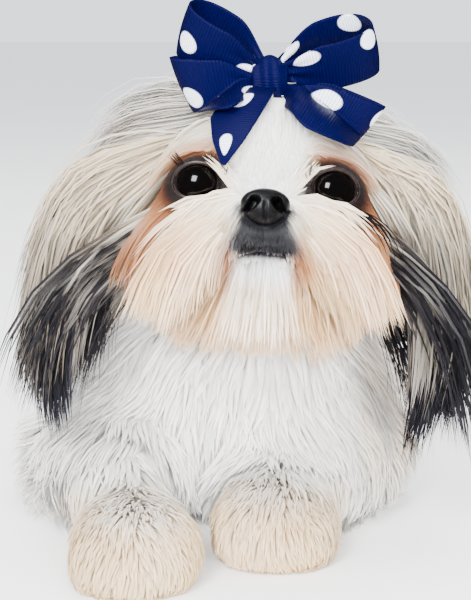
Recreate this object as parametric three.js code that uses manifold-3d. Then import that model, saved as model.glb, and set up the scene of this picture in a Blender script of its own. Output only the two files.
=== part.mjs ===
// A shih tzu lying on its belly with its head raised and a ribbon bow on its topknot, life size, in mm.
// +Z is up, -Y is the way the dog faces and +X is its left. All that lies on the floor is cut flat.
// The flesh is a set of rounded forms that melt into each other, and each node wraps some in its coat.

import * as THREE from "three";
import { mergeVertices } from "three/addons/utils/BufferGeometryUtils.js";
import Module from "manifold-3d";

const wasm = await Module();
wasm.setup();

// Driving sizes.
const EYE_SPACING = 57;
const EYE_RADIUS = 11.5;
const EYE_HEIGHT = 155.6;
const HEAD_ASIDE = 13;
const HEAD_FORWARD = 29.9;
const HEAD_PITCH = 23;
const HEAD_ROLL = 3;
const GAP = 0.3;
const RIBBON = { halfWidth: 12.2, thickness: 0.9 };

// How deep the coat is over the flesh of each region, and how much of that depth the core of a node fills.
const COAT = { head: 14, neck: 18, chest: 19, torso: 20, leg: 16, paw: 9, thigh: 17 };
const CORE_SHARE = 0.45;

const rad = THREE.MathUtils.degToRad;
const mix = THREE.MathUtils.lerp;
const clamp = THREE.MathUtils.clamp;
const smooth = THREE.MathUtils.smoothstep;
const vec = (x, y, z) => new THREE.Vector3(x, y, z);
const SIDES = { left: 1, right: -1 };

// Random draws that come out the same each time.
let seed = 32;
function random(low = 0, high = 1) {
  seed = (seed * 1664525 + 1013904223) % 4294967296;
  return mix(low, high, seed / 4294967296);
}

// The head's own frame: its origin lies midway between the eyes, and -Y is the way the face looks.
const BODY_FRAME = new THREE.Matrix4();
const HEAD_FRAME = new THREE.Matrix4()
  .makeTranslation(HEAD_ASIDE, -HEAD_FORWARD, EYE_HEIGHT)
  .multiply(new THREE.Matrix4().makeRotationX(rad(-HEAD_PITCH)))
  .multiply(new THREE.Matrix4().makeRotationY(rad(HEAD_ROLL)));
const head = (x, y, z) => vec(x, y, z).applyMatrix4(HEAD_FRAME);
const headWay = (x, y, z) => vec(x, y, z).transformDirection(HEAD_FRAME);
const FROM_HEAD = HEAD_FRAME.clone().invert();

// Forms of flesh: an ellipsoid, and a limb that tapers between two points.
function ball(centre, half, frame = BODY_FRAME) {
  const unturn = new THREE.Quaternion().setFromRotationMatrix(frame).invert();
  return { centre: vec(...centre).applyMatrix4(frame), half: vec(...half), unturn };
}

function limb(from, to, fromRadius, toRadius, frame = BODY_FRAME) {
  const start = vec(...from).applyMatrix4(frame);
  const along = vec(...to).applyMatrix4(frame).sub(start);
  return { start, along, fromRadius, toRadius };
}

function distanceTo(form, p) {
  if (form.start) {
    const offset = p.clone().sub(form.start);
    const reach = clamp(offset.dot(form.along) / form.along.lengthSq(), 0, 1);
    return offset.addScaledVector(form.along, -reach).length() - mix(form.fromRadius, form.toRadius, reach);
  }
  const q = p.clone().sub(form.centre).applyQuaternion(form.unturn).divide(form.half);
  const k = q.length();
  return (k * (k - 1)) / Math.max(q.divide(form.half).length(), 1e-9);
}

// How far a point is outside a set of forms that melt into each other over the length `soft`.
function flesh(forms, soft = 14) {
  return (p) =>
    forms.reduce((nearest, form) => {
      const d = distanceTo(form, p);
      const overlap = Math.max(soft - Math.abs(nearest - d), 0) / soft;
      return Math.min(nearest, d) - overlap * overlap * soft * 0.25;
    }, 1e3);
}

function outward(field, p) {
  const here = field(p);
  const slope = (x, y, z) => field(vec(p.x + x, p.y + y, p.z + z)) - here;
  return vec(slope(0.5, 0, 0), slope(0, 0.5, 0), slope(0, 0, 0.5)).normalize();
}

// A closed surface of rings of points with a point at each end, from how far along and at what angle.
function ringed(at, rings, sides) {
  return (grow = 0) => {
    const points = [at(0, 0, grow)];
    for (let i = 1; i < rings; i++)
      for (let j = 0; j < sides; j++) points.push(at(i / rings, (j / sides) * 2 * Math.PI, grow));
    points.push(at(1, 0, grow));
    const index = (i, j) => 1 + (i - 1) * sides + (j % sides);
    const faces = [];
    for (let j = 0; j < sides; j++) {
      faces.push(0, index(1, j + 1), index(1, j));
      for (let i = 1; i < rings - 1; i++) {
        faces.push(index(i, j), index(i, j + 1), index(i + 1, j));
        faces.push(index(i, j + 1), index(i + 1, j + 1), index(i + 1, j));
      }
      faces.push(index(rings - 1, j), index(rings - 1, j + 1), points.length - 1);
    }
    return indexed(points, faces);
  };
}

function indexed(points, faces) {
  const geometry = new THREE.BufferGeometry().setFromPoints(points);
  geometry.setIndex(faces);
  return geometry;
}

// A skin round a core line. Rays leave the line square to it and fan out round its two ends, and each
// meets the skin where a walk in from outside stops. `depth` is the coat that the skin carries.
function wrap(field, from, to, { rings = 12, sides = 16, ends = 0.3, depth = 0, reach = 110 } = {}) {
  const axis = to.clone().sub(from).normalize();
  const side = vec(1, 0, 0).addScaledVector(axis, -axis.x).normalize();
  const top = side.clone().cross(axis).normalize();
  const coat = typeof depth === "function" ? depth : () => depth;

  function at(u, angle, grow = 0, deep = coat) {
    const lean = u < ends ? u / ends : u > 1 - ends ? 2 - (1 - u) / ends : 1;
    const along = clamp((u - ends) / (1 - 2 * ends), 0, 1);
    const tilt = (lean * Math.PI) / 2;
    const across = top.clone().multiplyScalar(Math.cos(angle)).addScaledVector(side, Math.sin(angle));
    const way = across.multiplyScalar(Math.sin(tilt)).addScaledVector(axis, -Math.cos(tilt));
    const start = from.clone().lerp(to, along);
    let travel = reach;
    for (let i = 0; i < 90; i++) {
      const p = start.clone().addScaledVector(way, travel);
      const gap = field(p) - deep(p) - grow;
      travel = Math.max(travel - gap * 0.7, 1);
      if (Math.abs(gap) < 0.01) break;
    }
    return start.addScaledVector(way, travel);
  }
  const skin = (u, angle) => at(u, angle, 0, () => 0);
  return { skin, geometry: ringed((u, angle, grow) => at(u, angle, grow), rings, sides) };
}

// A body along a curved line. `section(u)` gives its half width, half thickness and how far it is cupped.
function alongLine(line, wideWay, section, rings, sides) {
  function at(u, angle, grow = 0) {
    const here = line.getPoint(clamp(u, 0, 1));
    const tangent = line.getTangent(clamp(u, 0.001, 0.999));
    const wide = wideWay.clone().addScaledVector(tangent, -wideWay.dot(tangent)).normalize();
    const out = tangent.clone().cross(wide).normalize();
    if (u <= 0) return here.addScaledVector(tangent, -grow);
    if (u >= 1) return here.addScaledVector(tangent, grow);
    const { half, thick, cup } = section(u);
    const across = (Math.cos(angle) * (half + grow)) / half;
    here.addScaledVector(wide, across * half);
    return here.addScaledVector(out, Math.sin(angle) * (thick + grow * 1.3) - cup * across * across);
  }
  return { at, geometry: ringed(at, rings, sides) };
}

// A lock of hair: flat, ridged along its outer side and tapered to a point. It starts at `root` on the
// flesh, heads where `guide` says, and is held off the flesh by a distance that grows to `lift` at its tip.
// `cling` is how far it is drawn back to that distance where the flesh falls away from it, and `face`
// turns its outer side.
function lock(style, keepOff) {
  const { root, guide, length, width, lift, thick = 3, segments = 3, cling = 0, face } = style;
  const points = [root];
  const upAt = (p) => (face ? face.clone() : outward(keepOff, p));
  const ups = [upAt(root)];
  let way = guide(root, 0, ups[0]).normalize();
  for (let k = 1; k <= segments; k++) {
    const t = k / segments;
    const p = points[k - 1].clone().addScaledVector(way, length / segments);
    const clear = lift * (1 - (1 - t) * (1 - t));
    for (let i = 0; i < 3; i++) {
      const short = clear - keepOff(p);
      p.addScaledVector(outward(keepOff, p), short * (short > 0 ? 0.9 : cling));
    }
    p.z = Math.max(p.z, 0.4);
    const up = ups[k - 1].clone().lerp(upAt(p), 0.5).normalize();
    const gone = p.clone().sub(points[k - 1]).normalize();
    points.push(p);
    ups.push(up);
    way = gone.lerp(guide(p, t, up).normalize(), 0.6).normalize();
  }
  return { points, ups, width, thick };
}

// The solid of a lock. Grown, it holds the lock with room to spare on all sides, and its tip is blunt.
function lockSolid({ points, ups, width, thick }, grow = 0) {
  const last = points.length - 1;
  const rings = grow ? last + 1 : last;
  const corners = [];
  const side = vec(0, 0, 0);
  for (let k = 0; k < rings; k++) {
    const t = k / last;
    const ahead = points[Math.min(k + 1, last)].clone().sub(points[Math.max(k - 1, 0)]).normalize();
    side.add(ahead.clone().cross(ups[k])).addScaledVector(ahead, -side.dot(ahead)).normalize();
    const up = side.clone().cross(ahead).normalize();
    const half = (width / 2) * (0.72 + 1.3 * t - 2 * t * t);
    const high = thick * (1 - 0.5 * t);
    const wider = half + (grow * (half + Math.hypot(half, high))) / high;
    const here = points[k].clone().addScaledVector(ahead, grow * (k === 0 ? -1 : k === last ? 1 : 0));
    const base = here.clone().addScaledVector(up, -grow);
    corners.push(base.clone().addScaledVector(side, -wider));
    corners.push(base.clone().addScaledVector(side, wider));
    corners.push(here.addScaledVector(up, high + grow * 1.3));
  }
  const faces = [0, 2, 1];
  for (let k = 0; k < rings - 1; k++)
    for (let j = 0; j < 3; j++) {
      const [a, b] = [k * 3 + j, k * 3 + ((j + 1) % 3)];
      faces.push(a, b, a + 3, b, b + 3, a + 3);
    }
  const end = (rings - 1) * 3;
  if (grow) {
    faces.push(end, end + 1, end + 2);
  } else {
    corners.push(points[last]);
    faces.push(end, end + 1, end + 3, end + 1, end + 2, end + 3, end + 2, end, end + 3);
  }
  return faceOut(corners, faces, BODY_FRAME);
}

// Rows of locks over a wrapped form, each row [how far along, from angle, to angle, number of locks].
function rowsOf(shape, rows, style, keepOff) {
  return rows.flatMap(([u, from, to, count]) =>
    Array.from({ length: count }, (_, i) => {
      const angle = rad(mix(from, to, (i + 0.5 + random(-0.25, 0.25)) / count));
      const length = style.length * random(0.85, 1.15);
      return lock({ ...style, length, root: shape.skin(u + random(-0.02, 0.02), angle) }, keepOff);
    }),
  );
}

// Solids to join and cut, and back to geometry.
function solid(geometry) {
  const plain = geometry.clone();
  plain.deleteAttribute("normal");
  plain.deleteAttribute("uv");
  const merged = mergeVertices(plain, 1e-4);
  return new wasm.Manifold(
    new wasm.Mesh({
      numProp: 3,
      vertProperties: merged.attributes.position.array,
      triVerts: new Uint32Array(merged.index.array),
    }),
  );
}

function faceOut(points, faces, frame) {
  const made = solid(indexed(points, faces).applyMatrix4(frame));
  return made.volume() > 0 ? made : solid(indexed(points, [...faces].reverse()).applyMatrix4(frame));
}

const largest = (made) => made.decompose().reduce((a, b) => (b.volume() > a.volume() ? b : a));

function geometryIn(frame, made) {
  const mesh = made.getMesh();
  const positions = new Float32Array(mesh.numVert * 3);
  for (let i = 0; i < mesh.numVert; i++)
    positions.set(mesh.vertProperties.subarray(i * mesh.numProp, i * mesh.numProp + 3), i * 3);
  const geometry = new THREE.BufferGeometry();
  geometry.setAttribute("position", new THREE.BufferAttribute(positions, 3));
  geometry.setIndex(new THREE.BufferAttribute(mesh.triVerts, 1));
  return geometry.applyMatrix4(frame.clone().invert());
}

function ellipsoid(centre, half, frame = BODY_FRAME, detail = [16, 12]) {
  return new THREE.SphereGeometry(1, ...detail).scale(...half).translate(...centre).applyMatrix4(frame);
}

const UNDER_FLOOR = solid(new THREE.BoxGeometry(900, 900, 100).translate(0, 0, -50));

// The flesh of the head, in its own frame.
const inHead = (centre, half) => ball(centre, half, HEAD_FRAME);
const eyeCentre = (side) => [(side * EYE_SPACING) / 2, 0, 0];
const LIDS = [1, -1].map((side) => inHead([(side * EYE_SPACING) / 2, 1, 0], [13.8, 12.8, 13.2]));
const SKULL = [
  inHead([0, 42, 4], [48, 50, 42]),
  inHead([0, 18, 14], [33, 25, 27]),
  inHead([30, 17, -16], [21, 24, 21]),
  inHead([-30, 17, -16], [21, 24, 21]),
  ...LIDS,
];
const MUZZLE = [
  inHead([0, -6, -18], [22, 18, 13]),
  inHead([10, -11, -23], [13, 13, 11]),
  inHead([-10, -11, -23], [13, 13, 11]),
];
const JAW = [inHead([0, -5, -41], [18, 15, 8.5]), inHead([0, 14, -37], [24, 22, 12])];
const NOSE = [inHead([0, -26, -13.5], [10.3, 6.5, 6.5]), inHead([0, -26, -17.5], [6.5, 6, 5])];

const TOPKNOT = [limb([0, 24, 36], [0, 30, 56], 17, 9, HEAD_FRAME)];

// The flesh of the body.
const NECK = [limb([3, 58, 84], [9, 24, 124], 45, 39)];
const CHEST = [ball([2, 30, 54], [50, 42, 54]), ball([5, 8, 68], [36, 30, 38])];
const TORSO = [
  ball([0, 90, 60], [59, 92, 62]),
  ball([0, 165, 58], [52, 80, 58]),
  ball([0, 218, 54], [52, 50, 55]),
];
const TAIL_LINE = new THREE.CatmullRomCurve3([
  vec(0, 240, 88),
  vec(0, 276, 108),
  vec(4, 274, 140),
  vec(14, 246, 154),
  vec(24, 222, 148),
]);
const FORELEG = {
  left: { elbow: [50, 20, 26], wrist: [30, -24, 19], paw: [17, -50, 14] },
  right: { elbow: [-58, 26, 26], wrist: [-52, -42, 19], paw: [-42, -78, 14] },
};
const SLEEVE = { left: 46, right: 80 };
const SLEEVE_FLARE = { left: 1, right: 2.6 };
const HINDLEG = {
  left: { hip: [40, 212, 54], knee: [56, 160, 32], hock: [58, 230, 16], paw: [66, 146, 13] },
  right: { hip: [-40, 212, 54], knee: [-56, 160, 32], hock: [-58, 230, 16], paw: [-66, 146, 13] },
};
const TOES = [-13.5, -5, 5, 13.5];
const EAR_LINES = {
  left: [
    [42, 37, 30],
    [62, 38, 25],
    [77, 35, 6],
    [84, 32, -20],
    [83, 30, -44],
  ],
  right: [
    [-42, 37, 30],
    [-63, 38, 26],
    [-80, 35, 6],
    [-90, 32, -20],
    [-94, 30, -44],
  ],
};

const pawForms = ([x, y, z], size) => {
  const toe = (aside) => {
    const centre = [x + aside * size, y - 13 * size + Math.abs(aside) * 0.4, 9 * size];
    return ball(centre, [6 * size, 11 * size, 9 * size]);
  };
  return [ball([x, y, z], [18 * size, 24 * size, 14 * size]), ...TOES.map(toe)];
};
const armForms = ({ elbow, wrist }) => [limb(elbow, wrist, 21, 15)];
const legForms = ({ hip, knee, hock, paw }) => [
  limb(hip, knee, 40, 26),
  limb(knee, hock, 22, 14),
  limb(hock, paw, 14, 13),
];
const earForms = (line) =>
  [-9, 9].flatMap((wide) => {
    const moved = ([x, y, z]) => [x - Math.sign(x) * 4 + wide * 0.43, y + wide * 0.9 * Math.sign(x), z];
    return line.slice(1).map((to, i) => limb(moved(line[i]), moved(to), 4, 4, HEAD_FRAME));
  });

// What locks are held off: all the flesh at once, and beside it the ears or the tail where these lie under them.
const headFlesh = flesh([...SKULL, ...MUZZLE, ...JAW, ...TOPKNOT], 9);
const trunkFlesh = flesh([...NECK, ...CHEST, ...TORSO], 14);
const limbFlesh = flesh(
  [
    ...Object.values(FORELEG).flatMap((leg) => [...armForms(leg), ...pawForms(leg.paw, 1)]),
    ...Object.values(HINDLEG).flatMap((leg) => [...legForms(leg), ...pawForms(leg.paw, 0.9)]),
  ],
  6,
);
const earFlesh = flesh(Object.values(EAR_LINES).flatMap(earForms), 3);
const tailFlesh = flesh(
  TAIL_LINE.points.slice(1).map((to, i) => limb(TAIL_LINE.points[i].toArray(), to.toArray(), 10, 10)),
  3,
);
const offBody = (p) => Math.min(headFlesh(p), trunkFlesh(p), limbFlesh(p));
const offEars = (p) => Math.min(offBody(p), earFlesh(p));
const offTail = (p) => Math.min(offBody(p), tailFlesh(p));

const finish = (color, roughness) => new THREE.MeshStandardMaterial({ color, roughness, metalness: 0 });
const WHITE_HAIR = finish(0xe9e6e0, 0.85);
const CREAM_HAIR = finish(0xd9c9ab, 0.85);
const TAN_HAIR = finish(0xc9a184, 0.85);
const GREY_HAIR = finish(0xa5a299, 0.8);
const DARK_HAIR = finish(0x2b2b30, 0.7);
const NOSE_LEATHER = finish(0x141416, 0.35);
const WET_EYE = finish(0x0c0a0c, 0.08);
const BLUE_RIBBON = finish(0x10208a, 0.6);

const dog = new THREE.Group();
const headGroup = new THREE.Group();
headGroup.applyMatrix4(HEAD_FRAME);
dog.add(headGroup);

// The nodes, each with its core, that core grown by the gap, and the locks that it carries.
const nodes = [];

function addNode(name, core, grown, material, group = dog, locks = []) {
  nodes.push({ name, core, grown, material, group, locks });
}

function addShape(name, shape, material, { group = dog, locks = [], cutters = [] } = {}) {
  const core = cutters.reduce((left, tool) => left.subtract(tool), solid(shape.geometry()));
  addNode(name, core, solid(shape.geometry(GAP)), material, group, locks);
}

// Eyes, and the openings between the lids.
const openings = [];
for (const [name, side] of Object.entries(SIDES)) {
  const eyeball = (radius, detail) =>
    solid(ellipsoid(eyeCentre(side), Array(3).fill(radius), HEAD_FRAME, detail));
  const socket = eyeball(EYE_RADIUS + 0.9, [12, 7]);
  addNode("eye_" + name, eyeball(EYE_RADIUS, [16, 9]), socket, WET_EYE, headGroup);
  openings.push(solid(ellipsoid([side * 30.5, -14, 0], [9.8, 12, 8.2], HEAD_FRAME, [12, 6])));
}

// The nose leather with its two nostrils.
const nostrils = [1, -1].map((side) =>
  solid(ellipsoid([side * 5, -32, -14.5], [2.3, 5, 2.7], HEAD_FRAME, [8, 6])),
);
const noseDetail = { rings: 8, sides: 12, reach: 30 };
const noseShape = wrap(flesh(NOSE, 4), head(0, -24, -14), head(0, -26, -14), noseDetail);
addShape("nose", noseShape, NOSE_LEATHER, { group: headGroup, cutters: nostrils });

// The bow's frame: X is to the dog's left, Z is up the bow and -Y the way that it faces.
const BOW_FRAME = HEAD_FRAME.clone()
  .multiply(new THREE.Matrix4().makeTranslation(-0.5, 14, 56))
  .multiply(new THREE.Matrix4().makeRotationX(rad(15)))
  .multiply(new THREE.Matrix4().makeRotationY(rad(-HEAD_ROLL)));
const KNOT_HALF = [7.2, 6.5, 10.5];
const knot = (grow) => solid(ellipsoid([0, 0, 0], KNOT_HALF.map((r) => r + grow), BOW_FRAME, [12, 8]));
const BOW_LOOPS = {
  upper_left: {
    start: [3, 1, 4], out: [0.97, 0, 0.24], across: [-0.1, -0.66, 0.75], length: 46, front: 9, back: 17,
  },
  upper_right: {
    start: [-3, 1, 4], out: [-0.9, 0, 0.45], across: [0.4, -0.62, 0.66], length: 43, front: 9, back: 15,
  },
  lower_left: {
    start: [3, 1, -5], out: [0.92, -0.05, -0.38], across: [0.38, -0.25, 0.88], length: 44, front: 7, back: 7,
  },
  lower_right: {
    start: [-3, 1, -3], out: [-0.98, 0.05, -0.08], across: [-0.05, -0.2, 0.97], length: 43, front: 6, back: 8,
  },
};

// A loop of ribbon stood on edge: it leaves the knot, swings round in a teardrop and comes back to it.
function ribbonLoop({ start, out, across, length, front, back }, grow = 0) {
  const outWay = vec(...out).normalize();
  const width = vec(...across).addScaledVector(outWay, -vec(...across).dot(outWay)).normalize();
  const away = width.clone().cross(outWay).normalize();
  if (away.y < 0) away.negate();
  const steps = 12;
  const half = RIBBON.thickness / 2 + grow;
  const path = (turn) => {
    const swell = Math.sin(turn) * Math.pow(Math.abs(Math.sin(turn / 2)), 0.8);
    return [(length * (1 - Math.cos(turn))) / 2, swell * (swell > 0 ? back : front)];
  };
  const points = [];
  for (let i = 0; i < steps; i++) {
    const turn = (i / steps) * 2 * Math.PI;
    const [s, d] = path(turn);
    const [sAhead, dAhead] = path(turn + 0.02);
    const [sBehind, dBehind] = path(turn - 0.02);
    const slope = new THREE.Vector2(sAhead - sBehind, dAhead - dBehind).normalize();
    const reach = mix(0.34, 1, smooth(s, 0, length * 0.5)) * RIBBON.halfWidth + grow;
    for (const [inOut, upDown] of [[1, -1], [1, 1], [-1, 1], [-1, -1]])
      points.push(
        vec(...start)
          .addScaledVector(outWay, s + slope.y * inOut * half)
          .addScaledVector(away, d - slope.x * inOut * half)
          .addScaledVector(width, upDown * reach),
      );
  }
  const faces = [];
  for (let i = 0; i < steps; i++)
    for (let k = 0; k < 4; k++) {
      const [a, b] = [i * 4 + k, i * 4 + ((k + 1) % 4)];
      const ahead = (((i + 1) % steps) - i) * 4;
      faces.push(a, a + ahead, b, b, a + ahead, b + ahead);
    }
  return faceOut(points, faces, BOW_FRAME);
}

// The loose end of the ribbon, which narrows to a point over the brow.
const RIBBON_END = [
  { at: [-3, -6, -4], left: 6, right: 6 },
  { at: [-9, -11, -10], left: 12, right: 9 },
  { at: [-14, -12.5, -18], left: 12, right: 9 },
  { at: [-17, -12, -27], left: 8, right: 6 },
  { at: [-20, -10.5, -36], left: 1, right: 1 },
];

function ribbonEnd(grow = 0) {
  const half = RIBBON.thickness / 2 + grow;
  const points = RIBBON_END.flatMap(({ at, left, right }) => {
    const [west, east] = [-left - grow, right + grow];
    const corners = [[west, -half], [east, -half], [east, half], [west, half]];
    return corners.map(([x, y]) => vec(at[0] + x, at[1] + y, at[2]));
  });
  const last = points.length - 4;
  const faces = [0, 1, 2, 0, 2, 3, last, last + 2, last + 1, last, last + 3, last + 2];
  for (let i = 0; i < last; i += 4)
    for (let k = 0; k < 4; k++) {
      const [a, b] = [i + k, i + ((k + 1) % 4)];
      faces.push(a, a + 4, b, b, a + 4, b + 4);
    }
  return faceOut(points, faces, BOW_FRAME);
}

addNode("bow_knot", knot(0), knot(GAP), BLUE_RIBBON, headGroup);
addNode("bow_end", ribbonEnd(), ribbonEnd(GAP), BLUE_RIBBON, headGroup);
for (const [name, loop] of Object.entries(BOW_LOOPS))
  addNode("bow_" + name, ribbonLoop(loop), ribbonLoop(loop, GAP), BLUE_RIBBON, headGroup);

// Ways for locks to head, from one at the root to another at the tip, and along the flesh.
const turning = (from, to) => (p, t) => from.clone().lerp(to, t);
const lying = (way) => (p, t, up) => {
  const target = way(p, t, up);
  return target.addScaledVector(up, -0.85 * target.dot(up));
};

// Brings a point of the head's frame onto the flesh.
function seat(field, x, y, z) {
  const p = head(x, y, z);
  for (let i = 0; i < 4; i++) p.addScaledVector(outward(field, p), -field(p));
  return p;
}

// Head: hair falls aside from the temples and cheeks.
const headDepth = (p) => {
  const back = p.clone().applyMatrix4(FROM_HEAD).y;
  return mix(1, COAT.head * CORE_SHARE, smooth(back, -8, 26));
};
const skullDetail = { rings: 10, sides: 18, depth: headDepth };
const skullShape = wrap(flesh(SKULL, 9), head(0, 6, -4), head(0, 52, 2), skullDetail);
const CHEEK_ROOTS = [
  { at: [38, 3, -12], out: 0.45, length: 60 },
  { at: [43, 12, 8], out: 1, length: 96 },
  { at: [46, 18, -8], out: 0.8, length: 88 },
  { at: [36, 18, -27], out: 0.4, length: 60 },
];
const cheekLocks = Object.values(SIDES).flatMap((side) =>
  CHEEK_ROOTS.map(({ at: [x, y, z], out, length }) =>
    lock(
      {
        root: seat(headFlesh, side * x, y, z),
        guide: turning(headWay(side * out, 0.1, -0.7), headWay(side * 0.1, 0.1, -1)),
        length: length * random(0.94, 1.06),
        width: 27,
        lift: 12,
        face: headWay(side * 0.45, -1, 0),
      },
      offBody,
    ),
  ),
);
addShape("head", skullShape, WHITE_HAIR, {
  group: headGroup,
  cutters: openings,
  locks: cheekLocks,
});

// Muzzle and moustache.
const muzzleDetail = { rings: 10, sides: 16, depth: 3 };
const muzzleShape = wrap(flesh(MUZZLE, 9), head(0, -4, -22), head(0, -8, -22), muzzleDetail);
const MOUSTACHE_ROOTS = [
  { at: [15, -18, -13], from: [1, 0.1, -0.1], to: [0.3, 0.1, -1], length: 60 },
  { at: [12, -21, -19], from: [0.9, -0.1, -0.4], to: [0.25, 0.1, -1], length: 60 },
  { at: [19, -13, -20], from: [0.9, 0, -0.4], to: [0.2, 0.1, -1], length: 56 },
  { at: [9, -22, -27], from: [0.4, -0.2, -0.9], to: [0.1, 0.1, -1], length: 52 },
  { at: [15, -17, -29], from: [0.6, -0.1, -0.8], to: [0.1, 0.1, -1], length: 54 },
];
const moustacheLocks = Object.values(SIDES).flatMap((side) =>
  MOUSTACHE_ROOTS.map(({ at: [x, y, z], from, to, length }) =>
    lock(
      {
        root: seat(headFlesh, side * x, y, z),
        guide: turning(
          headWay(side * from[0], from[1], from[2]),
          headWay(side * to[0], to[1], to[2]),
        ),
        length,
        width: 16,
        lift: 12,
        thick: 2.5,
        segments: 4,
        cling: 0.15,
      },
      offBody,
    ),
  ),
);
addShape("muzzle", muzzleShape, CREAM_HAIR, { group: headGroup, locks: moustacheLocks });

// Jaw and beard.
const jawShape = wrap(flesh(JAW, 8), head(0, 8, -40), head(0, -4, -42), { rings: 8, sides: 12, depth: 3 });
const beardLocks = [-12, 0, 12].flatMap((x) =>
  [
    { y: -17, z: -40, length: 36 },
    { y: -12, z: -46, length: 28 },
  ].map(({ y, z, length }) =>
    lock(
      {
        root: seat(headFlesh, x + random(-1, 1), y, z),
        guide: turning(headWay(x * 0.02, -0.5, -1), headWay(x * 0.015, 0.15, -1)),
        length: length * random(0.9, 1.1),
        width: 17,
        lift: 8,
        thick: 2.5,
      },
      offBody,
    ),
  ),
);
addShape("jaw", jawShape, TAN_HAIR, { group: headGroup, locks: beardLocks });

// The topknot: hair gathered to the band behind the bow, which falls from it to both sides and behind.
const topknotShape = wrap(flesh(TOPKNOT, 6), head(0, 26, 42), head(0, 29, 54), { rings: 10, sides: 12 });
const topknotLocks = Array.from({ length: 9 }, (_, i) => {
  const turn = rad(mix(-26, 206, i / 8));
  const [aside, behind] = [Math.cos(turn), Math.sin(turn)];
  const start = headWay(aside, Math.max(behind, 0.3), aside < 0 ? 0 : -0.2);
  const end = headWay(aside * 0.3, behind * 0.3, -1);
  return lock(
    {
      root: head(aside * 5, 32 + behind * 4, 51 + (i % 2)),
      guide: (p) => {
        const local = p.clone().applyMatrix4(FROM_HEAD);
        return start.clone().lerp(end, smooth(Math.hypot(local.x, (local.y - 32) * 1.4), 26, 92));
      },
      length: mix(66, 92, Math.abs(aside)) * random(0.92, 1.08),
      width: 26,
      lift: 12,
      segments: 4,
      cling: 0.3,
      face: headWay(aside, -0.8 + 1.6 * Math.max(behind, 0), 0.9),
    },
    offEars,
  );
});
addShape("topknot", topknotShape, GREY_HAIR, { group: headGroup, locks: topknotLocks });

// An ear: a leaf that stands out from the side of the skull, folds over and hangs, hollow on its inner side.
function earShape(name, side) {
  const line = new THREE.CatmullRomCurve3(EAR_LINES[name].map((point) => head(...point)));
  const section = (u) => ({
    half: 21 * Math.pow(Math.sin(Math.PI * mix(0.16, 1, u)), 0.6),
    thick: 2.4,
    cup: mix(11, 5, u),
  });
  return alongLine(line, headWay(0.43, 0.9 * side, 0), section, 9, 12);
}
const EAR_ROWS = [
  { u: 0.25, count: 3, length: 92 },
  { u: 0.55, count: 2, length: 82 },
  { u: 0.84, count: 2, length: 66 },
];

function earLocks(side, shape) {
  const guide = (p) => {
    const local = p.clone().applyMatrix4(FROM_HEAD);
    const turned = smooth(Math.abs(local.x), 52, side > 0 ? 94 : 106);
    const tucked = smooth(local.z, -60, -95);
    return headWay(side * mix(1, 0.05 - 0.3 * tucked, turned), 0, mix(-0.35, -1, turned));
  };
  return EAR_ROWS.flatMap(({ u, count, length }) =>
    Array.from({ length: count }, (_, i) => {
      const angle = rad(mix(20, 160, (i + 0.5 + random(-0.15, 0.15)) / count));
      return lock(
        {
          root: shape.at(u, angle, -1.2),
          guide,
          length: length * random(0.9, 1.08),
          width: 21,
          lift: 7,
          segments: 4,
        },
        offEars,
      );
    }),
  );
}
for (const [name, side] of Object.entries(SIDES)) {
  const shape = earShape(name, side);
  addShape("ear_" + name, shape, DARK_HAIR, { group: headGroup, locks: earLocks(side, shape) });
}

// Trunk: hair falls from the middle line to both sides, back and down.
const depthOf = (region) => COAT[region] * CORE_SHARE;
const torsoDetail = { rings: 10, sides: 14, depth: depthOf("torso") };
const torsoShape = wrap(flesh(TORSO), vec(0, 70, 56), vec(0, 215, 54), torsoDetail);
const torsoLocks = rowsOf(
  torsoShape,
  [
    [0.32, -115, 115, 4],
    [0.5, -115, 115, 5],
    [0.68, -75, 75, 3],
    [0.87, -130, 130, 5],
  ],
  {
    guide: lying((p, t, up) => vec(up.x * 0.4, 0.85, -0.8 * Math.abs(up.x) - 0.1)),
    length: 78,
    width: 48,
    lift: 19,
    thick: 4.5,
    cling: 0.8,
  },
  offTail,
);
addShape("torso", torsoShape, WHITE_HAIR, { locks: torsoLocks });

const neckDetail = { rings: 9, sides: 12, depth: depthOf("neck") };
const neckShape = wrap(flesh(NECK), vec(4, 54, 90), vec(8, 32, 116), neckDetail);
const neckLocks = rowsOf(
  neckShape,
  [
    [0.38, 75, 285, 3],
    [0.64, 70, 290, 4],
  ],
  {
    guide: lying((p, t, up) => vec(up.x * 0.5, 0.45, -1)),
    length: 60,
    width: 40,
    lift: 17,
    thick: 4,
    cling: 0.7,
  },
  offBody,
);
addShape("neck", neckShape, GREY_HAIR, { locks: neckLocks });

const chestDetail = { rings: 9, sides: 14, depth: depthOf("chest") };
const chestShape = wrap(flesh(CHEST), vec(2, 20, 56), vec(2, 40, 56), chestDetail);
const chestLocks = rowsOf(
  chestShape,
  [
    [0.1, -150, 150, 3],
    [0.24, -130, 130, 5],
    [0.38, -120, 120, 4],
  ],
  {
    guide: lying((p, t, up) => vec(up.x * 0.6, -0.15, -1)),
    length: 52,
    width: 32,
    lift: 18,
    thick: 4,
    cling: 0.7,
  },
  offBody,
);
addShape("chest", chestShape, WHITE_HAIR, { locks: chestLocks });

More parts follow.
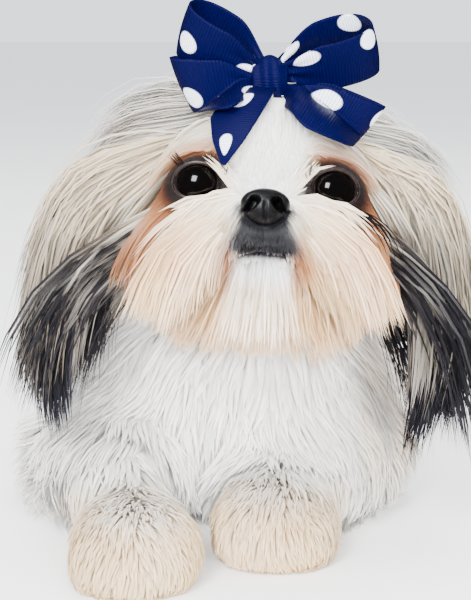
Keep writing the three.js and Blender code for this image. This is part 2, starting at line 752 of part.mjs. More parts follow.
// Forelegs with feathering that spreads on the floor on their outer side, and paws with hair between the toes.
for (const [name, side] of Object.entries(SIDES)) {
  const leg = FORELEG[name];
  const armShape = wrap(flesh(armForms(leg)), vec(...leg.elbow), vec(...leg.wrist), {
    rings: 8,
    sides: 10,
    depth: depthOf("leg"),
  });
  const armRows = [
    [0.28, 180 - side * 140, 180 + side * 20, 3],
    [0.62, 180 - side * 140, 180 + side * 30, 3],
  ];
  const armStyle = {
    guide: lying(() => vec(side * SLEEVE_FLARE[name], 0.1, -0.7)),
    length: SLEEVE[name],
    width: 32,
    lift: 17,
    thick: 3.6,
    cling: 0.2,
  };
  const armLocks = rowsOf(armShape, armRows, armStyle, offBody);
  addShape("foreleg_" + name, armShape, WHITE_HAIR, { locks: armLocks });

  const [x, y, z] = leg.paw;
  const pawShape = wrap(flesh(pawForms(leg.paw, 1), 5), vec(x, y, z), vec(x, y - 4, z - 2), {
    rings: 8,
    sides: 14,
    depth: depthOf("paw"),
  });
  const pawRows = [
    [0.42, 100, 260, 2],
    [0.66, 80, 280, 4],
  ];
  const pawStyle = {
    guide: lying((p, t, up) => vec(up.x * 0.9, -0.8, -0.6)),
    length: 25,
    width: 17,
    lift: 8,
    thick: 2.6,
    cling: 0.7,
  };
  const pawLocks = rowsOf(pawShape, pawRows, pawStyle, offBody);
  addShape("forepaw_" + name, pawShape, CREAM_HAIR, { locks: pawLocks });
}

// Hind legs folded at the dog's sides.
for (const [name, side] of Object.entries(SIDES)) {
  const leg = HINDLEG[name];
  const legShape = wrap(flesh(legForms(leg)), vec(...leg.hip), vec(...leg.knee), {
    rings: 8,
    sides: 12,
    depth: depthOf("thigh"),
  });
  const legRows = [
    [0.24, side * 30, side * 150, 3],
    [0.54, side * 30, side * 180, 3],
  ];
  const legStyle = {
    guide: lying((p, t, up) => vec(side * 0.2, 0.5, -0.9)),
    length: 64,
    width: 42,
    lift: 17,
    thick: 4,
    cling: 0.7,
  };
  const legLocks = rowsOf(legShape, legRows, legStyle, offBody);
  addShape("hindleg_" + name, legShape, WHITE_HAIR, { locks: legLocks });

  const [x, y, z] = leg.paw;
  const pawShape = wrap(flesh(pawForms(leg.paw, 0.9), 5), vec(x, y, z), vec(x, y - 4, z - 2), {
    rings: 8,
    sides: 12,
    depth: depthOf("paw"),
  });
  const pawStyle = {
    guide: lying((p, t, up) => vec(up.x * 0.9, -0.8, -0.6)),
    length: 24,
    width: 17,
    lift: 8,
    thick: 2.6,
    cling: 0.7,
  };
  addShape("hindpaw_" + name, pawShape, CREAM_HAIR, {
    locks: rowsOf(pawShape, [[0.64, 80, 280, 4]], pawStyle, offBody),
  });
}

// The tail, carried up and forward over the back, with a plume that hangs to both sides.
const tailSection = (u) => ({ half: mix(11, 14, u) * Math.sqrt(1 - Math.pow(u, 6)), thick: 10, cup: 0 });
const tailShape = alongLine(TAIL_LINE, vec(1, 0, 0), tailSection, 10, 10);
const tailLocks = [0.25, 0.58, 0.9].flatMap((u, row) =>
  [-1, 0, 1].map((across) => {
    const along = TAIL_LINE.getTangent(u);
    const spread = across + random(-0.2, 0.2);
    return lock(
      {
        root: tailShape.at(u, rad(90 - across * 62), -3),
        guide: turning(
          along.clone().multiplyScalar(0.8).add(vec(spread * 0.7, 0, 0)),
          along.clone().multiplyScalar(0.35).add(vec(spread * 0.5, row < 1 ? 0.45 : 0.1, -0.8)),
        ),
        length: (row < 1 ? 66 : 64) * random(0.9, 1.1),
        width: 30,
        lift: 16,
      },
      offTail,
    );
  }),
);
addShape("tail", tailShape, WHITE_HAIR, { locks: tailLocks });

// Cores are cut clear of the cores before them. Locks are cut clear of every other core, and each node of
// LAYERS is cut clear of the locks that lie over it. A node keeps its one largest body.
const LAYERS = [
  "muzzle", "jaw", "topknot", "ear_left", "ear_right", "head", "forepaw_left", "forepaw_right", "chest",
  "foreleg_left", "foreleg_right", "neck", "hindpaw_left", "hindpaw_right", "hindleg_left", "hindleg_right",
  "tail", "torso",
];

function fuseCoats() {
  nodes.forEach((node, i) => {
    const before = nodes.slice(0, i).map((other) => other.grown);
    node.body = before.reduce((left, other) => left.subtract(other), node.core.subtract(UNDER_FLOOR));
  });
  const over = [];
  for (const name of LAYERS) {
    const node = nodes.find((other) => other.name === name);
    const others = nodes.filter((other) => other !== node).map((other) => other.grown);
    const hair = wasm.Manifold.union(node.locks.map((strand) => lockSolid(strand))).subtract(UNDER_FLOOR);
    const clear = others.reduce((left, other) => left.subtract(other), hair);
    node.body = over.reduce((left, other) => left.subtract(other), node.body.add(clear));
    over.push(wasm.Manifold.union(node.locks.map((strand) => lockSolid(strand, GAP))));
  }
  for (const { name, body, material, group } of nodes) {
    const frame = group === headGroup ? HEAD_FRAME : BODY_FRAME;
    const mesh = new THREE.Mesh(geometryIn(frame, largest(body)), material);
    mesh.name = name;
    group.add(mesh);
  }
}
fuseCoats();

// The whole stands on its own middle.
dog.updateMatrixWorld(true);
const bounds = new THREE.Box3().setFromObject(dog, true);
const middle = bounds.getCenter(vec(0, 0, 0));
dog.position.set(-middle.x, -middle.y, -bounds.min.z);

export default dog;
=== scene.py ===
"""A shih tzu lying on its belly: skin, coat lock by lock, eyes, nose, claws and the bow on its topknot.

Lengths are millimetres in the dog's own frame: +Z up, -Y the way it faces, +X its left. The head has a
frame of its own, whose origin lies midway between the eyes. Meshes are turned into metres when made.
"""

import math

import bmesh
import bpy
import numpy as np
from mathutils import Matrix, Vector, kdtree


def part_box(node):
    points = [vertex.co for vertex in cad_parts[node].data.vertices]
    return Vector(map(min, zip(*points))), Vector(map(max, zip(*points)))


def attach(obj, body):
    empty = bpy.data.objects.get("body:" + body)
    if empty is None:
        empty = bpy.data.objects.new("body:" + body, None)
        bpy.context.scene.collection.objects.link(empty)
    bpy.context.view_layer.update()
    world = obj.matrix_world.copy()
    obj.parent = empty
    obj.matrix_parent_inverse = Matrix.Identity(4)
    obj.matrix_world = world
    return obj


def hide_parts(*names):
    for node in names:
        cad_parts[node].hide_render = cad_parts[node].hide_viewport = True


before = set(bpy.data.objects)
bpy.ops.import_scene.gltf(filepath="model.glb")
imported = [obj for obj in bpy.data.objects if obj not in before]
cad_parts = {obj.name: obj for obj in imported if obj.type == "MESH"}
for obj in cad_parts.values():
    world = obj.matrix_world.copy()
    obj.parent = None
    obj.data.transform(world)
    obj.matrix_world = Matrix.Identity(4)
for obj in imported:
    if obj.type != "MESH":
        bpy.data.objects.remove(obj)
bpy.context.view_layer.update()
RNG = np.random.default_rng(7)

# The head's frame and where the dog's frame lies in the scene.
EYE_SPACING = 57.0
EYE_RADIUS = 11.5
EYES_MIDDLE = np.array([13.0, -29.9, 155.6])
HEAD_PITCH = -23.0
HEAD_ROLL = 3.0
HEAD_TURN = np.array(
    (Matrix.Rotation(math.radians(HEAD_PITCH), 3, "X") @ Matrix.Rotation(math.radians(HEAD_ROLL), 3, "Y"))
)


def out_of_head(points):
    return np.asarray(points, float) @ HEAD_TURN.T + EYES_MIDDLE


def into_head(points):
    return (np.asarray(points, float) - EYES_MIDDLE) @ HEAD_TURN


def head_way(way):
    return np.asarray(way, float) @ HEAD_TURN.T


EYE_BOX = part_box("eye_left")
SHIFT = np.array((EYE_BOX[0] + EYE_BOX[1]) * 500) - out_of_head([EYE_SPACING / 2, 0, 0])


def metres(points):
    return (np.asarray(points, float) + SHIFT) / 1000


# Small sums on arrays of points.
def unit(v):
    return v / np.maximum(np.linalg.norm(v, axis=-1, keepdims=True), 1e-9)


def stack(x, y, z):
    return np.stack(np.broadcast_arrays(x, y, z), -1).astype(float)


def mix(a, b, t):
    return a + (b - a) * t


def smooth(x, low, high):
    t = np.clip((x - low) / (high - low), 0, 1)
    return t * t * (3 - 2 * t)


def linear(red, green, blue):
    """A colour as the eye names it, from 0 to 255, as light."""
    c = np.array([red, green, blue]) / 255
    return np.where(c <= 0.04045, c / 12.92, ((c + 0.055) / 1.055) ** 2.4)


# Forms of flesh: rounded balls and tapering limbs that melt into each other.
def ball(centre, half, in_head=False):
    turn = HEAD_TURN if in_head else np.eye(3)
    place = out_of_head(centre) if in_head else np.array(centre, float)
    return {"centre": place, "half": np.array(half, float), "turn": turn}


def limb(start, end, start_radius, end_radius, in_head=False):
    place = out_of_head if in_head else (lambda p: np.array(p, float))
    return {"start": place(start), "along": place(end) - place(start), "radii": (start_radius, end_radius)}


def distance_to(form, points):
    if "start" in form:
        offset = points - form["start"]
        along = form["along"]
        reach = np.clip(offset @ along / (along @ along), 0, 1)
        near = offset - reach[..., None] * along
        return np.linalg.norm(near, axis=-1) - mix(*form["radii"], reach)
    q = (points - form["centre"]) @ form["turn"] / form["half"]
    k = np.linalg.norm(q, axis=-1)
    return k * (k - 1) / np.maximum(np.linalg.norm(q / form["half"], axis=-1), 1e-9)


def melt(near, d, soft):
    overlap = np.maximum(soft - np.abs(near - d), 0) / soft
    return np.minimum(near, d) - overlap * overlap * soft * 0.25


def flesh(forms, soft=14.0):
    def distance(points):
        near = np.full(points.shape[:-1], 1e3)
        for form in forms:
            near = melt(near, distance_to(form, points), soft)
        return near

    return distance


def outward(field, points, step=0.3):
    here = field(points)
    slope = [field(points + step * axis) - here for axis in np.eye(3)]
    return here, unit(np.stack(slope, -1))


SKULL = [
    ball([0, 42, 4], [48, 50, 42], True),
    ball([0, 18, 14], [33, 25, 27], True),
    ball([30, 17, -16], [21, 24, 21], True),
    ball([-30, 17, -16], [21, 24, 21], True),
    ball([28.5, 1, 0], [13.8, 12.8, 13.2], True),
    ball([-28.5, 1, 0], [13.8, 12.8, 13.2], True),
]
MUZZLE = [
    ball([0, -6, -18], [22, 18, 13], True),
    ball([10, -11, -23], [13, 13, 11], True),
    ball([-10, -11, -23], [13, 13, 11], True),
]
JAW = [ball([0, -5, -41], [18, 15, 8.5], True), ball([0, 14, -37], [24, 22, 12], True)]
NOSE = [ball([0, -26, -13.5], [10.3, 6.5, 6.5], True), ball([0, -26, -17.5], [6.5, 6, 5], True)]
TOPKNOT = [limb([0, 24, 36], [0, 30, 56], 17, 9, True)]
NECK = [limb([3, 58, 84], [9, 24, 124], 45, 39)]
CHEST = [ball([2, 30, 54], [50, 42, 54]), ball([5, 8, 68], [36, 30, 38])]
TORSO = [ball([0, 90, 60], [59, 92, 62]), ball([0, 165, 58], [52, 80, 58]), ball([0, 218, 54], [52, 50, 55])]
TAIL_POINTS = [[0, 240, 88], [0, 276, 108], [4, 274, 140], [14, 246, 154], [24, 222, 148]]
TAIL = [limb(a, b, 10, 10) for a, b in zip(TAIL_POINTS, TAIL_POINTS[1:])]
FORELEG = {
    "left": {"elbow": [50, 20, 26], "wrist": [30, -24, 19], "paw": [17, -50, 14]},
    "right": {"elbow": [-58, 26, 26], "wrist": [-52, -42, 19], "paw": [-42, -78, 14]},
}
HINDLEG = {
    "left": {"hip": [40, 212, 54], "knee": [56, 160, 32], "hock": [58, 230, 16], "paw": [66, 146, 13]},
    "right": {"hip": [-40, 212, 54], "knee": [-56, 160, 32], "hock": [-58, 230, 16], "paw": [-66, 146, 13]},
}
EAR_LINES = {
    "left": [[42, 37, 30], [62, 38, 25], [77, 35, 6], [84, 32, -20], [83, 30, -44]],
    "right": [[-42, 37, 30], [-63, 38, 26], [-80, 35, 6], [-90, 32, -20], [-94, 30, -44]],
}
TOES = [-13.5, -5, 5, 13.5]
SIDES = {"left": 1, "right": -1}


def paw_forms(paw, size):
    x, y, _ = paw
    toe = np.multiply([6, 11, 9], size)
    toes = [ball([x + a * size, y - 13 * size + abs(a) * 0.4, 9 * size], toe) for a in TOES]
    return [ball(paw, np.multiply([18, 24, 14], size)), *toes]


def leg_forms(leg):
    return [
        limb(leg["hip"], leg["knee"], 40, 26),
        limb(leg["knee"], leg["hock"], 22, 14),
        limb(leg["hock"], leg["paw"], 14, 13),
    ]


def ear_forms(name):
    side = SIDES[name]
    forms = []
    for wide in (-12, 0, 12):
        moved = [[x - side * 4 + wide * 0.43, y + wide * 0.9 * side, z] for x, y, z in EAR_LINES[name]]
        forms += [limb(a, b, 4, 4, True) for a, b in zip(moved, moved[1:])]
    return forms


REGIONS = {
    "skull": SKULL, "muzzle": MUZZLE, "jaw": JAW, "topknot": TOPKNOT,
    "neck": NECK, "chest": CHEST, "torso": TORSO, "tail": TAIL,
    **{"foreleg_" + name: [limb(leg["elbow"], leg["wrist"], 21, 15)] for name, leg in FORELEG.items()},
    **{"forepaw_" + name: paw_forms(leg["paw"], 1) for name, leg in FORELEG.items()},
    **{"hindleg_" + name: leg_forms(leg) for name, leg in HINDLEG.items()},
    **{"hindpaw_" + name: paw_forms(leg["paw"], 0.9) for name, leg in HINDLEG.items()},
    **{"ear_" + name: ear_forms(name) for name in SIDES},
}
LIMBS = [name for name in REGIONS if "leg" in name or "paw" in name]
HEAD_FLESH = flesh([*SKULL, *MUZZLE, *JAW, *TOPKNOT], 9)
TRUNK_FLESH = flesh([*NECK, *CHEST, *TORSO], 14)
LIMB_FLESH = flesh([form for name in LIMBS for form in REGIONS[name]], 12)
EAR_FLESH = flesh([*REGIONS["ear_left"], *REGIONS["ear_right"]], 4)
TAIL_FLESH = flesh(TAIL, 4)


def body_flesh(points):
    near = melt(HEAD_FLESH(points), TRUNK_FLESH(points), 10)
    return melt(near, LIMB_FLESH(points), 26)


def all_flesh(points):
    return melt(melt(body_flesh(points), EAR_FLESH(points), 3), TAIL_FLESH(points), 5)


GRID_LOW = np.array([-141.0, -135.0, -15.0])
GRID_STEP = 3.5
GRID_SIZE = (82, 138, 78)


class Grid:
    """A field of distances kept on a grid of points, read between them."""

    def __init__(self, values):
        slopes = np.stack(np.gradient(values, GRID_STEP), -1)
        self.table = np.concatenate([values[..., None], slopes], -1)

    def __call__(self, points):
        at = (points - GRID_LOW) / GRID_STEP
        at = np.clip(at, 0, np.array(GRID_SIZE) - 1.001)
        cell = at.astype(int)
        part = at - cell
        total = 0
        for corner in np.ndindex(2, 2, 2):
            weight = np.prod(np.where(corner, part, 1 - part), -1)
            total = total + weight[..., None] * self.table[tuple((cell + corner).T)]
        return total[:, 0], unit(total[:, 1:])


def blurred(values, reach=4, rounds=3):
    """A grid of values, each averaged with its neighbours."""
    width = 2 * reach + 1
    for _ in range(rounds):
        for axis in range(3):
            pad = [(reach, reach) if i == axis else (0, 0) for i in range(3)]
            wide = np.pad(values, pad, mode="edge")
            size = values.shape[axis]
            values = sum(np.take(wide, range(k, k + size), axis) for k in range(width)) / width
    return values


def fill_grids():
    axes = [GRID_LOW[i] + GRID_STEP * np.arange(GRID_SIZE[i]) for i in range(3)]
    points = np.stack(np.meshgrid(*axes, indexing="ij"), -1)
    body = np.concatenate([body_flesh(points[i : i + 4]) for i in range(0, GRID_SIZE[0], 4)])
    whole = melt(melt(body, EAR_FLESH(points), 3), TAIL_FLESH(points), 5)
    return Grid(body), Grid(whole), Grid(blurred(body))


OFF_BODY, OFF_ALL, ROUNDED = fill_grids()


# Meshes.
def new_object(name, mesh):
    made = bpy.data.objects.new(name, mesh)
    bpy.context.scene.collection.objects.link(made)
    return made


def mesh_of(bm, name):
    mesh = bpy.data.meshes.new(name)
    bm.to_mesh(mesh)
    bm.free()
    return mesh


def vertices_of(mesh):
    flat = np.empty(len(mesh.vertices) * 3)
    mesh.vertices.foreach_get("co", flat)
    return flat.reshape(-1, 3)


def set_vertices(mesh, points):
    mesh.vertices.foreach_set("co", np.ascontiguousarray(points, float).ravel())
    mesh.update()


def shade_smooth(mesh):
    mesh.polygons.foreach_set("use_smooth", np.ones(len(mesh.polygons), bool))


def finish_piece(piece, material, slot, *nodes):
    piece.data.materials.clear()
    piece.data.materials.append(material)
    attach(piece, "root")
    if nodes:
        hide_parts(*nodes)
    return piece


def piece_of(bm, name, material, slot, *nodes):
    """A finished smooth piece from a mesh that was built in millimetres."""
    mesh = mesh_of(bm, name)
    set_vertices(mesh, metres(vertices_of(mesh)))
    shade_smooth(mesh)
    return finish_piece(new_object(name, mesh), material, slot, *nodes)


def point_colours(mesh, name, colours):
    """Gives each point of a mesh its colour, under a name that its material reads."""
    full = np.ones((len(colours), 4))
    full[:, :3] = np.clip(colours, 0, 1)
    layer = mesh.color_attributes.new(name, "FLOAT_COLOR", "POINT")
    layer.data.foreach_set("color", full.ravel())


def lump(bm, form):
    """Adds one form to a mesh as a closed shape."""
    if "half" in form:
        turn = Matrix(form["turn"].tolist()).to_4x4()
        place = Matrix.Translation(form["centre"]) @ turn @ Matrix.Diagonal((*form["half"], 1))
        bmesh.ops.create_icosphere(bm, subdivisions=4, radius=1, matrix=place)
        return
    start, along = Vector(form["start"]), Vector(form["along"])
    first, last = form["radii"]
    for place, radius in ((start, first), (start + along, last)):
        bmesh.ops.create_icosphere(bm, subdivisions=3, radius=radius, matrix=Matrix.Translation(place))
    lie = Matrix.Translation(start + along / 2) @ along.to_track_quat("Z", "Y").to_matrix().to_4x4()
    bmesh.ops.create_cone(
        bm, cap_ends=True, segments=24, radius1=first, radius2=last, depth=along.length, matrix=lie
    )


def moulded(name, forms, field, voxel, rounds=4):
    """Forms fused into one closed mesh, whose points are then drawn onto the field's surface."""
    bm = bmesh.new()
    for form in forms:
        lump(bm, form)
    rough = new_object(name + "_rough", mesh_of(bm, name + "_rough"))
    remesh = rough.modifiers.new("fuse", "REMESH")
    remesh.mode = "VOXEL"
    remesh.voxel_size = voxel
    graph = bpy.context.evaluated_depsgraph_get()
    mesh = bpy.data.meshes.new_from_object(rough.evaluated_get(graph))
    bpy.data.objects.remove(rough)
    points = vertices_of(mesh)
    for _ in range(rounds):
        gap, way = outward(field, points)
        points = points - way * np.clip(gap, -3, 3)[:, None] * 0.9
    set_vertices(mesh, points)
    shade_smooth(mesh)
    mesh.name = name
    return mesh


# Colours of the coat.
WHITE = linear(244, 242, 238)
SNOW = linear(250, 249, 247)
CREAM = linear(227, 190, 132)
PEACH = linear(212, 146, 86)
TAN = linear(160, 92, 48)
RUST = linear(80, 40, 24)
BEIGE = linear(222, 186, 128)
SILVER = linear(188, 178, 162)
GREY = linear(116, 110, 104)
SLATE = linear(40, 41, 48)
CHARCOAL = linear(11, 11, 15)
LID = linear(9, 6, 6)
NOSE_MIDDLE = [0, -26, -15]
NOSE_HALF = [11.2, 8, 9]


def parts(points):
    return np.moveaxis(points, -1, 0)


def ripple(points, size, seed=0.0, squash=1.0):
    """A slow wandering value from 0 to 1 over space, drawn out in height where `squash` is small."""
    x, y, z = parts(points * [1, 1, squash] / size + seed)
    wave = np.sin(x * 1.7 + np.sin(y * 1.3 + seed)) + np.sin(y * 1.9 + np.sin(z * 1.1))
    wave = wave + np.sin(z * 2.3 + np.sin(x * 1.7))
    return np.clip(wave / 6 + 0.5, 0, 1)


def paint(base, colour, amount):
    return mix(base, colour, np.clip(amount, 0, 1)[..., None])


def layered(points, base, *coats):
    """The base colour at each point, with further colours painted over it, each by its own amount."""
    colour = np.broadcast_to(base, points.shape).copy()
    for other, amount in coats:
        colour = paint(colour, other, amount)
    return colour


def head_colours(points):
    """The face's and head's markings at points of the dog's frame."""
    x, _, z = parts(into_head(points))
    aside = np.abs(x)
    narrow = 11 + 0.13 * np.maximum(z, 0)
    side = smooth(aside, narrow, narrow + 13)
    streak = ripple(points, 6, 5, 0.3)
    outer = smooth(aside, 44, 58)
    far = np.hypot((aside - 29) * 0.9, z + 1)
    brow = 1 - smooth(np.hypot((aside - 33) * 0.55, z - 15), 3, 10)
    below = 1 - smooth(np.hypot((aside - 39) * 0.8, (z + 18) * 0.55), 6, 19)
    warm = smooth(aside, 14, 26) * (1 - smooth(aside, 50, 60)) * (1 - smooth(z, -40, -14))
    outside = smooth(aside, 36, 46) * (1 - smooth(z, -30, -8)) * smooth(z, -64, -44)
    stain = 1 - smooth(np.hypot((aside - 40) * 1.1, (z + 6) * 0.7), 5, 15)
    greyer = smooth(x, 16, 30) * smooth(z, 8, 18) * (1 - smooth(z, 32, 44))
    return layered(
        points,
        WHITE,
        (CREAM, side * smooth(z, -6, 8) * 0.9),
        (SILVER, side * smooth(z, 8, 26) * (1 - smooth(z, 34, 46)) * 0.85),
        (CREAM, smooth(aside, 14, 32) * (1 - smooth(z, 0, 26)) * 0.9),
        (SILVER, outer),
        (CREAM, outer * smooth(streak, 0.4, 0.9) * 0.5),
        (SLATE, smooth(aside, 46, 62) * smooth(-z + (streak - 0.5) * 50, 2, 52)),
        (TAN, brow * smooth(aside, 14, 24) * 0.75),
        (TAN, (1 - smooth(far, 14, 29)) * smooth(aside, 15, 25) * 0.95),
        (TAN, below * 0.85),
        (PEACH, warm * (0.35 + 0.5 * smooth(ripple(points, 8, 4, 0.3), 0.3, 0.7))),
        (TAN, outside * (0.35 + 0.4 * ripple(points, 5, 9, 0.3))),
        (RUST, stain * 0.35),
        (GREY, greyer * 0.45),
        (RUST, (1 - smooth(far, 11, 20)) * smooth(aside, 15, 20) * 0.95),
        (LID, (1 - smooth(far, 11.5, 16)) * smooth(aside, 14, 17) * 0.96),
    )


def beard_colours(points):
    h = into_head(points)
    x, y, z = parts(h)
    aside = np.abs(x)
    warm = 0.45 + 0.55 * smooth(ripple(points, 7, 4, 0.35), 0.3, 0.7)
    corner = 1 - smooth(np.hypot((aside - 16) * 1.3, (z + 46) * 0.36), 2, 9)
    chin = (1 - smooth(aside, 8, 13)) * (1 - smooth(np.abs(z + 40), 5, 9))
    reach = aside - 9 + (z + 21) * 0.42
    under_nose = (1 - smooth(reach, -1, 4)) * smooth(z, -37, -33) * smooth(-y, 8, 14)
    under_nose = under_nose * (1 - smooth(z, -15, -11))
    dark = 0.35 + 0.3 * ripple(points, 2, 7, 0.2) + 0.5 * (1 - smooth(z, -30, -24))
    round_nose = np.linalg.norm((h - NOSE_MIDDLE) / NOSE_HALF, axis=-1)
    return layered(
        points,
        SNOW,
        (CREAM, smooth(aside, 6, 20) * 0.9),
        (PEACH, smooth(-z, 22, 44) * warm * 0.9),
        (PEACH, smooth(aside, 18, 36) * smooth(-z, 8, 34) * 0.8),
        (TAN, smooth(aside, 30, 44) * smooth(-z, 14, 32) * (1 - smooth(-z, 50, 66)) * 0.45),
        (TAN, corner * 0.95),
        (CREAM, smooth(-z, 40, 56) * 0.8),
        (SNOW, chin * 0.9),
        (SLATE, under_nose * 0.95),
        (CHARCOAL, under_nose * dark),
        (CHARCOAL, (1 - smooth(round_nose, 1.05, 1.3)) * (1 - smooth(z, -14, -11))),
    )


def ear_colours(points):
    x, _, z = parts(into_head(points))
    streak = ripple(points, 4, 3, 0.3) * 0.5 + ripple(points, 9, 8, 0.3) * 0.5
    drop = -z + (streak - 0.5) * 44 + 12 * (x > 0)
    cream, slate, charcoal = ripple(points, 9, 1) * 0.5, smooth(drop, -4, 38), smooth(drop, 16, 52)
    return layered(points, SILVER, (CREAM, cream), (SLATE, slate), (CHARCOAL, charcoal))


def shoulder_tint(points):
    """Beige and grey hair on the left shoulder, behind the ear."""
    x, y, z = parts(points)
    amount = smooth(x, 48, 62) * (1 - smooth(y, 50, 90)) * smooth(z, 8, 30) * (1 - smooth(z, 110, 130))
    grey = smooth(ripple(points, 9, 2, 0.4), 0.35, 0.7)
    return (BEIGE, amount * 0.6), (GREY, amount * grey * 0.7)


def trunk_colours(points):
    _, y, z = parts(points)
    patch = smooth(ripple(points, 30, 2), 0.42, 0.62) * (smooth(z, 70, 108) * smooth(y, 84, 110))
    return layered(
        points,
        WHITE,
        *shoulder_tint(points),
        (CREAM, smooth(y, 20, 60) * 0.25),
        (SILVER, smooth(y, 30, 60) * smooth(z, 40, 90) * 0.5),
        (GREY, patch * 0.8),
        (SLATE, patch * smooth(z, 95, 120) * 0.7),
    )


def limb_colours(points):
    _, y, z = parts(points)
    paw = (1 - smooth(z, 20, 36)) * (1 - smooth(y, -52, -22))
    beige = paw * (0.75 + 0.25 * ripple(points, 10, 6))
    cream = (1 - smooth(z, 5, 26)) * smooth(y, 90, 130) * 0.5
    return layered(points, WHITE, *shoulder_tint(points), (BEIGE, beige), (CREAM, cream))


def tail_colours(points):
    return layered(points, WHITE, (SILVER, (1 - smooth(points[..., 2], 100, 140)) * 0.6))


MARKINGS = (
    (["skull", "topknot"], head_colours),
    (["muzzle", "jaw"], beard_colours),
    (["ear_left", "ear_right"], ear_colours),
    (["neck", "chest", "torso"], trunk_colours),
    (LIMBS, limb_colours),
    (["tail"], tail_colours),
)


def markings(points, region):
    """The coat's colour at points, each in the named region."""
    colour = np.broadcast_to(WHITE, points.shape).copy()
    for names, paints in MARKINGS:
        here = np.isin(region, names)
        if here.any():
            colour[here] = paints(points[here])
    return colour


def region_of(points):
    names = np.array(list(REGIONS))
    distances = np.stack([flesh(forms, 4)(points) for forms in REGIONS.values()])
    return names[np.argmin(distances, 0)]


# Materials.
class Shader:
    """A small builder of node materials."""

    def __init__(self, name):
        self.material = bpy.data.materials.new(name)
        self.material.use_nodes = True
        self.tree = self.material.node_tree
        self.surface = self.tree.nodes["Principled BSDF"]

    def feed(self, socket, value):
        """Links a node's output to a socket, or sets the socket to a number or a colour."""
        if isinstance(value, bpy.types.NodeSocket):
            self.tree.links.new(value, socket)
        else:
            socket.default_value = value if np.ndim(value) == 0 else (*value, 1)

    def node(self, kind, feeds=(), **settings):
        made = self.tree.nodes.new(kind)
        for name, value in settings.items():
            setattr(made, name, value)
        for socket, value in feeds:
            self.feed(made.inputs[socket], value)
        return made

    def set(self, **values):
        for name, value in values.items():
            self.surface.inputs[name.replace("_", " ")].default_value = value

    def base(self, colour):
        self.feed(self.surface.inputs["Base Color"], colour)

    def uv(self, name):
        return self.node("ShaderNodeUVMap", uv_map=name).outputs["UV"]

    def colour(self, name):
        return self.node("ShaderNodeAttribute", attribute_name=name).outputs["Color"]

    def place(self, scale, source=None):
        source = source or self.node("ShaderNodeTexCoord").outputs["Object"]
        mapping = self.node("ShaderNodeMapping", [("Vector", source)])
        mapping.inputs["Scale"].default_value = scale
        return mapping.outputs["Vector"]

    def noise(self, vector, detail=2.0, roughness=0.5):
        feeds = [("Vector", vector), ("Scale", 1.0), ("Detail", detail), ("Roughness", roughness)]
        return self.node("ShaderNodeTexNoise", feeds).outputs["Fac"]

    def ramp(self, value, *stops):
        made = self.node("ShaderNodeValToRGB", [("Fac", value)])
        ramp = made.color_ramp
        while len(ramp.elements) < len(stops):
            ramp.elements.new(0.5)
        for element, (place, colour) in zip(ramp.elements, stops):
            element.position = place
            element.color = (*np.broadcast_to(colour, 3), 1)
        return made.outputs["Color"]

    def sum(self, operation, *values):
        return self.node("ShaderNodeMath", enumerate(values), operation=operation).outputs[0]

    def mix(self, amount, a, b, blend="MIX"):
        feeds = [(0, amount), (6, a), (7, b)]
        return self.node("ShaderNodeMix", feeds, data_type="RGBA", blend_type=blend).outputs[2]

    def bump(self, height, strength, distance):
        feeds = [("Height", height), ("Strength", strength), ("Distance", distance)]
        self.feed(self.surface.inputs["Normal"], self.node("ShaderNodeBump", feeds).outputs["Normal"])


def hair_material(name, gloss, deep, shine):
    """Hair in locks: fine fibres run along each lock, lighter and darker, over the coat's own colour."""
    s = Shader(name)
    fibres = s.noise(s.place((2.4, 0.04, 1), s.uv("strand")), 3.0, 0.6)
    broad = s.noise(s.place((0.6, 0.02, 1), s.uv("strand")), 1.0)
    shade = s.ramp(fibres, (0.3, deep), (0.6, 1.0))
    tone = s.ramp(broad, (0.35, (0.94, 0.93, 0.92)), (0.6, 1.0))
    s.base(s.mix(1.0, s.mix(1.0, s.colour("coat"), shade, "MULTIPLY"), tone, "MULTIPLY"))
    s.set(Roughness=gloss, Specular_IOR_Level=shine, Sheen_Weight=shine / 4, Sheen_Roughness=0.5)
    s.set(Subsurface_Weight=0.5, Subsurface_Radius=(1.0, 0.9, 0.8), Subsurface_Scale=0.005)
    s.bump(fibres, 0.35, 0.0004)
    return s.material


def grained(name, scale, stops, roughness, specular, bump=None, over=None, detail=3.0):
    """A material of fine grain between two colours, laid over the mesh's own colour named by `over`."""
    s = Shader(name)
    grain = s.noise(s.place(scale), detail)
    tone = s.ramp(grain, *stops)
    s.base(s.mix(1.0, s.colour(over), tone, "MULTIPLY") if over else tone)
    s.set(Roughness=roughness, Specular_IOR_Level=specular)
    if bump:
        s.bump(grain, *bump)
    return s.material


def eye_material():
    """A very dark brown iris round a black pupil, under a wet cornea."""
    s = Shader("wet eye")
    polar = s.node("ShaderNodeSeparateXYZ", [(0, s.uv("iris"))])
    ring = s.sum("DIVIDE", polar.outputs[0], 12.0)
    rays = s.noise(s.place((0.35, 30, 1), s.uv("iris")), 3.0)
    iris = s.ramp(rays, (0.3, (0.0004, 0.0003, 0.0003)), (0.7, (0.0014, 0.0008, 0.0006)))
    in_iris = s.ramp(ring, (0.30, 0), (0.36, 1), (0.72, 1), (0.78, 0))
    in_white = s.ramp(ring, (0.80, 0), (0.88, 1))
    s.base(s.mix(in_white, s.mix(in_iris, (0.0006, 0.0006, 0.0006), iris), (0.03, 0.02, 0.018)))
    s.set(Roughness=0.1, Specular_IOR_Level=0.2, Coat_Weight=0.15, Coat_Roughness=0.03, Coat_IOR=1.38)
    return s.material


